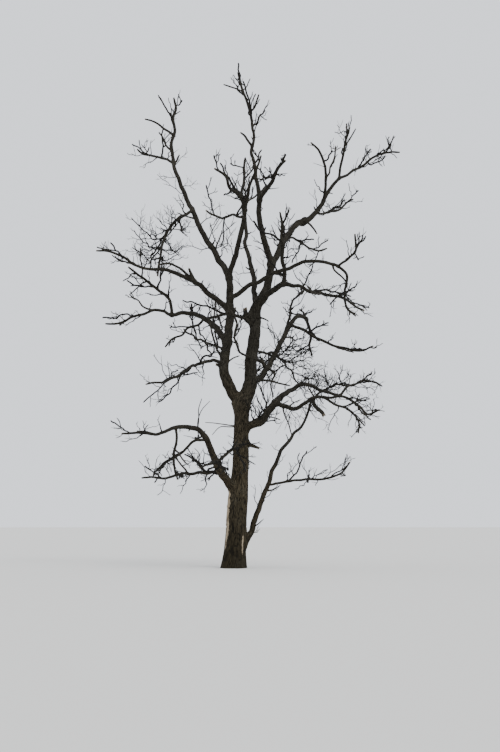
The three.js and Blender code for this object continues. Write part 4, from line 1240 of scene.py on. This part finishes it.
# Noises of the looks: scale, levels, and stretch round and along the limb. The streaks' scale is the grain
lookNoise = {
    "roughness": 0.6,
    "streak": (5, (1, 1, 0.16)),
    "crumbs": (210, 3, (1, 1, 0.6)),
    "patches": (1.6, 3, (1.6, 1.6, 0.45)),
    "fibres": (90, 3, (1, 1, 0.04)),
    "cracks": (30, 2, (1, 1, 0.05)),
    "blotches": (2.2, 3),
    "specks": (38, 3),
    "edge": (0.7, 2),
}
lookShares = {
    "streaks": 2.0,  # how much each counts in the bark's tone
    "crumbs": 0.5,
    "ridge": 0.72,
    "stained": (0.42, 0.6),  # range of the patches' noise from crest to stain
    "roughness": (-0.12, 0.97),  # from furrow to crest, and in the furrow
    "height": (0.7, 0.3),  # of streaks and crumbs
    "crackWidth": 0.05,
    "fibres": (0.2, 0.75, 0.45, 1.0),
    "woodHeight": 0.8,
    "blotches": (0.5, 0.72),
    "specks": (0.44, 0.66),
    "edge": 3.0,  # metres up and down
}


# A socket takes a number, a colour or what another node puts out
def feed(tree, socket, value):
    if isinstance(value, bpy.types.NodeSocket):
        tree.links.new(value, socket)
    else:
        socket.default_value = (*value, 1) if isinstance(value, tuple) else value


def newGroup(name, inputs, outputs):
    tree = bpy.data.node_groups.new(name, "ShaderNodeTree")
    for way, sockets in (("INPUT", inputs), ("OUTPUT", outputs)):
        for title, kind in sockets.items():
            tree.interface.new_socket(title, in_out=way, socket_type="NodeSocket" + kind)
    return tree, tree.nodes.new("NodeGroupInput").outputs, tree.nodes.new("NodeGroupOutput").inputs


def noiseNode(tree, vector, scale, detail, stretch=(1, 1, 1)):
    mapping = tree.nodes.new("ShaderNodeMapping")
    mapping.inputs["Scale"].default_value = stretch
    tree.links.new(vector, mapping.inputs["Vector"])
    node = tree.nodes.new("ShaderNodeTexNoise")
    tree.links.new(mapping.outputs["Vector"], node.inputs["Vector"])
    for title, value in (("Scale", scale), ("Detail", detail), ("Roughness", lookNoise["roughness"])):
        feed(tree, node.inputs[title], value)
    return node.outputs["Fac"]


def mathNode(tree, operation, *values, clamp=False):
    node = tree.nodes.new("ShaderNodeMath")
    node.operation = operation
    node.use_clamp = clamp
    for index, value in enumerate(values):
        feed(tree, node.inputs[index], value)
    return node.outputs[0]


def rangeNode(tree, value, low, high, toLow=0.0, toHigh=1.0):
    node = tree.nodes.new("ShaderNodeMapRange")
    node.interpolation_type = "SMOOTHSTEP"
    for title, given in (("Value", value), ("From Min", low), ("From Max", high), ("To Min", toLow),
            ("To Max", toHigh)):
        feed(tree, node.inputs[title], given)
    return node.outputs["Result"]


def mixNode(tree, factor, a, b):
    node = tree.nodes.new("ShaderNodeMix")
    node.data_type = "RGBA"
    for index, value in ((0, factor), (6, a), (7, b)):  # the mix, and its two colours
        feed(tree, node.inputs[index], value)
    return node.outputs[2]


# Bark: from furrow to crest by the ridge and a noise stretched along the limb, with wide stains of another
# brown. The near-black furrows are partly the bark's own darker colour and partly painted shade in the
# recesses. Its height is a fine noise, its roughness falls a little on the crests
def makeBarkTone():
    inputs = dict(Straight="Vector", Ridge="Float", Grain="Float", Furrow="Color", Crest="Color",
        Stain="Color")
    outputs = dict(Colour="Color", Roughness="Float", Height="Float")
    tree, given, made = newGroup("barkTone", inputs, outputs)
    streaks = noiseNode(tree, given["Straight"], given["Grain"], *lookNoise["streak"])
    crumbs = noiseNode(tree, given["Straight"], *lookNoise["crumbs"])
    patches = noiseNode(tree, given["Straight"], *lookNoise["patches"])
    lift = 0.0
    for noise, share in ((streaks, lookShares["streaks"]), (crumbs, lookShares["crumbs"])):
        lift = mathNode(tree, "ADD", lift, mathNode(tree, "MULTIPLY_ADD", noise, share, -share / 2))
    ridge = mathNode(tree, "MULTIPLY", given["Ridge"], lookShares["ridge"])
    shade = mathNode(tree, "ADD", ridge, lift, clamp=True)
    stained = rangeNode(tree, patches, *lookShares["stained"])
    crest = mixNode(tree, stained, given["Crest"], given["Stain"])
    ofStreaks, ofCrumbs = lookShares["height"]
    fine = mathNode(tree, "MULTIPLY", crumbs, ofCrumbs)
    feed(tree, made["Colour"], mixNode(tree, shade, given["Furrow"], crest))
    feed(tree, made["Roughness"], mathNode(tree, "MULTIPLY_ADD", shade, *lookShares["roughness"]))
    feed(tree, made["Height"], mathNode(tree, "MULTIPLY_ADD", streaks, ofStreaks, fine))
    return tree


# Bare wood: pale, with dark drying cracks where a noise drawn out along the grain is near its middle
def makeBareWood():
    inputs = dict(Straight="Vector", Wood="Color", Crack="Color")
    tree, given, made = newGroup("bareWood", inputs, dict(Colour="Color", Height="Float"))
    fibres = noiseNode(tree, given["Straight"], *lookNoise["fibres"])
    cracks = noiseNode(tree, given["Straight"], *lookNoise["cracks"])
    gap = mathNode(tree, "ABSOLUTE", mathNode(tree, "SUBTRACT", cracks, 0.5))
    whole = rangeNode(tree, gap, 0.0, lookShares["crackWidth"])
    shade = mathNode(tree, "MULTIPLY", whole, rangeNode(tree, fibres, *lookShares["fibres"]))
    feed(tree, made["Colour"], mixNode(tree, shade, given["Crack"], given["Wood"]))
    feed(tree, made["Height"], mathNode(tree, "MULTIPLY", shade, lookShares["woodHeight"]))
    return tree


# Weather: soft blotches of dust and old lichen, broken up into specks by a finer noise
def makeWeather():
    tree, given, made = newGroup("weather", dict(Place="Vector", Amount="Float"), dict(Mask="Float"))
    blotches, specks = (rangeNode(tree, noiseNode(tree, given["Place"], *lookNoise[name]), *lookShares[name])
        for name in ("blotches", "specks"))
    mask = mathNode(tree, "MULTIPLY", blotches, specks)
    feed(tree, made["Mask"], mathNode(tree, "MULTIPLY", mask, given["Amount"], clamp=True))
    return tree


# A mask that rises evenly with height, and with the distance from the trunk, its edge moved up and down by a
# wide noise. It places the painted shade at the foot, and the weathering and painted shade high up
def makeHeightShade():
    inputs = dict(Place="Vector", Low="Float", High="Float", Aside="Float")
    tree, given, made = newGroup("heightShade", inputs, dict(Mask="Float"))
    split = tree.nodes.new("ShaderNodeSeparateXYZ")
    feed(tree, split.inputs["Vector"], given["Place"])
    x, y, z = split.outputs
    wide = mathNode(tree, "SUBTRACT", noiseNode(tree, given["Place"], *lookNoise["edge"]), 0.5)
    height = mathNode(tree, "MULTIPLY_ADD", wide, lookShares["edge"], z)
    square = mathNode(tree, "MULTIPLY_ADD", y, y, mathNode(tree, "MULTIPLY", x, x))
    height = mathNode(tree, "MULTIPLY_ADD", mathNode(tree, "SQRT", square), given["Aside"], height)
    above = mathNode(tree, "SUBTRACT", height, given["Low"])
    span = mathNode(tree, "SUBTRACT", given["High"], given["Low"])
    feed(tree, made["Mask"], mathNode(tree, "DIVIDE", above, span, clamp=True))
    return tree


def placeGroup(tree, name, **values):
    node = tree.nodes.new("ShaderNodeGroup")
    node.node_tree = groups[name]
    for title, value in values.items():
        feed(tree, node.inputs[title], value)
    return node.outputs


# Bark and bare wood in one material, mixed by the mesh's own mask
def makeMaterial(name, looks, dustAmount, weathersAndShades):
    looks = {**barkLooks, **looks}
    material = bpy.data.materials.new(name)
    material.use_nodes = True
    tree = material.node_tree
    shader = tree.nodes["Principled BSDF"].inputs
    own = {}
    for title, socket in (("straight", "Vector"), ("ridge", "Fac"), ("bare", "Fac")):
        node = tree.nodes.new("ShaderNodeAttribute")
        node.attribute_name = title
        own[title] = node.outputs[socket]
    place = tree.nodes.new("ShaderNodeTexCoord").outputs["Object"]
    tones = {"crest": looks["crest"], "stain": looks["stain"]}
    # Height masks: painted shade darkens the crest towards the foot; high up and out on the boughs it turns
    # weathered grey and darker with painted shade
    if weathersAndShades:
        masks = []
        for (low, high), aside in ((looks["footBelow"], 0.0), (looks["weatheredAndShadedAbove"], looks["aside"])):
            shade = placeGroup(tree, "heightShade", Place=place, Low=low, High=high, Aside=aside)
            masks.append(shade["Mask"])
        for key, tone in tones.items():
            tone = mixNode(tree, masks[0], looks["footShadedCrest"], tone)
            tones[key] = mixNode(tree, masks[1], tone, looks["weatheredAndShadedCrest"])
    bark = placeGroup(tree, "barkTone", Straight=own["straight"], Ridge=own["ridge"], Grain=looks["grain"],
        Furrow=looks["furrow"], Crest=tones["crest"], Stain=tones["stain"])
    wood = placeGroup(tree, "bareWood", Straight=own["straight"], Wood=looks["wood"], Crack=looks["crack"])
    dust = placeGroup(tree, "weather", Place=place, Amount=dustAmount)
    bump = tree.nodes.new("ShaderNodeBump")
    colour = mixNode(tree, dust["Mask"], bark["Colour"], looks["dust"])
    height = mixNode(tree, own["bare"], bark["Height"], wood["Height"])
    for socket, value in (
        (bump.inputs["Strength"], looks["bump"]),
        (bump.inputs["Distance"], looks["relief"]),
        (bump.inputs["Height"], height),
        (shader["Base Color"], mixNode(tree, own["bare"], colour, wood["Colour"])),
        (shader["Roughness"], bark["Roughness"]),
        (shader["Specular IOR Level"], looks["shine"]),
        (shader["Normal"], bump.outputs["Normal"]),
    ):
        feed(tree, socket, value)
    return material


groups = {"barkTone": makeBarkTone(), "bareWood": makeBareWood(), "weather": makeWeather(),
    "heightShade": makeHeightShade()}
bark = makeMaterial("bark", {}, 0.4, True)
twigTones = [makeMaterial(name, {**looks, "stain": looks["crest"]}, 0.0, False)
    for name, looks in twigLooks.items()]
print("materials made")

for limb in limbs.values():
    layRings(limb)
for limb in limbs.values():
    findForks(limb)
    if limb["kind"] == "bough":
        addKnots(limb)
for limb in (limbs["trunk"], limbs["trunk"]["leader"]):
    limb["spread"] = trunkForm["forkSwell"]
print("limbs laid out")


# Bark of limbs, each with the broken pieces that stand on it
def barkPatches(carriers):
    broken = [limb for limb in limbs.values() if limb["kind"] == "stub"]
    return [barkSurface(part) for limb in carriers
        for part in [limb] + [piece for piece in broken if piece["on"] == limb["name"]]]


for limb in limbs.values():
    if limb["kind"] in ("trunk", "bough"):
        count = buildMesh(limb["name"] + "Bark", barkPatches([limb]), [bark], [limb["name"]])
        print(limb["name"], "has", count, "triangles")

regions = {}
for limb in limbs.values():
    if limb["kind"] != "stub":
        growFineTwigs(limb)
        regions.setdefault(regionOf(limb), []).append(limb)
for region, members in sorted(regions.items()):
    masses = [limb for limb in members if limb["kind"] == "stem"]
    nodes = [limb["name"] for limb in masses]
    patches = barkPatches(masses) + twigPatches([twig for limb in members for twig in limb["stubs"]])
    stemCount = buildMesh(region + "Stems", patches, [bark], nodes)
    twigs = [twig for limb in members for twig in limb["fine"]]
    twigCount = buildMesh(region + "Twigs", twigPatches(twigs), twigTones, nodes)
    print(region, "has", len(twigs), "twigs in", twigCount, "triangles, stems in", stemCount)
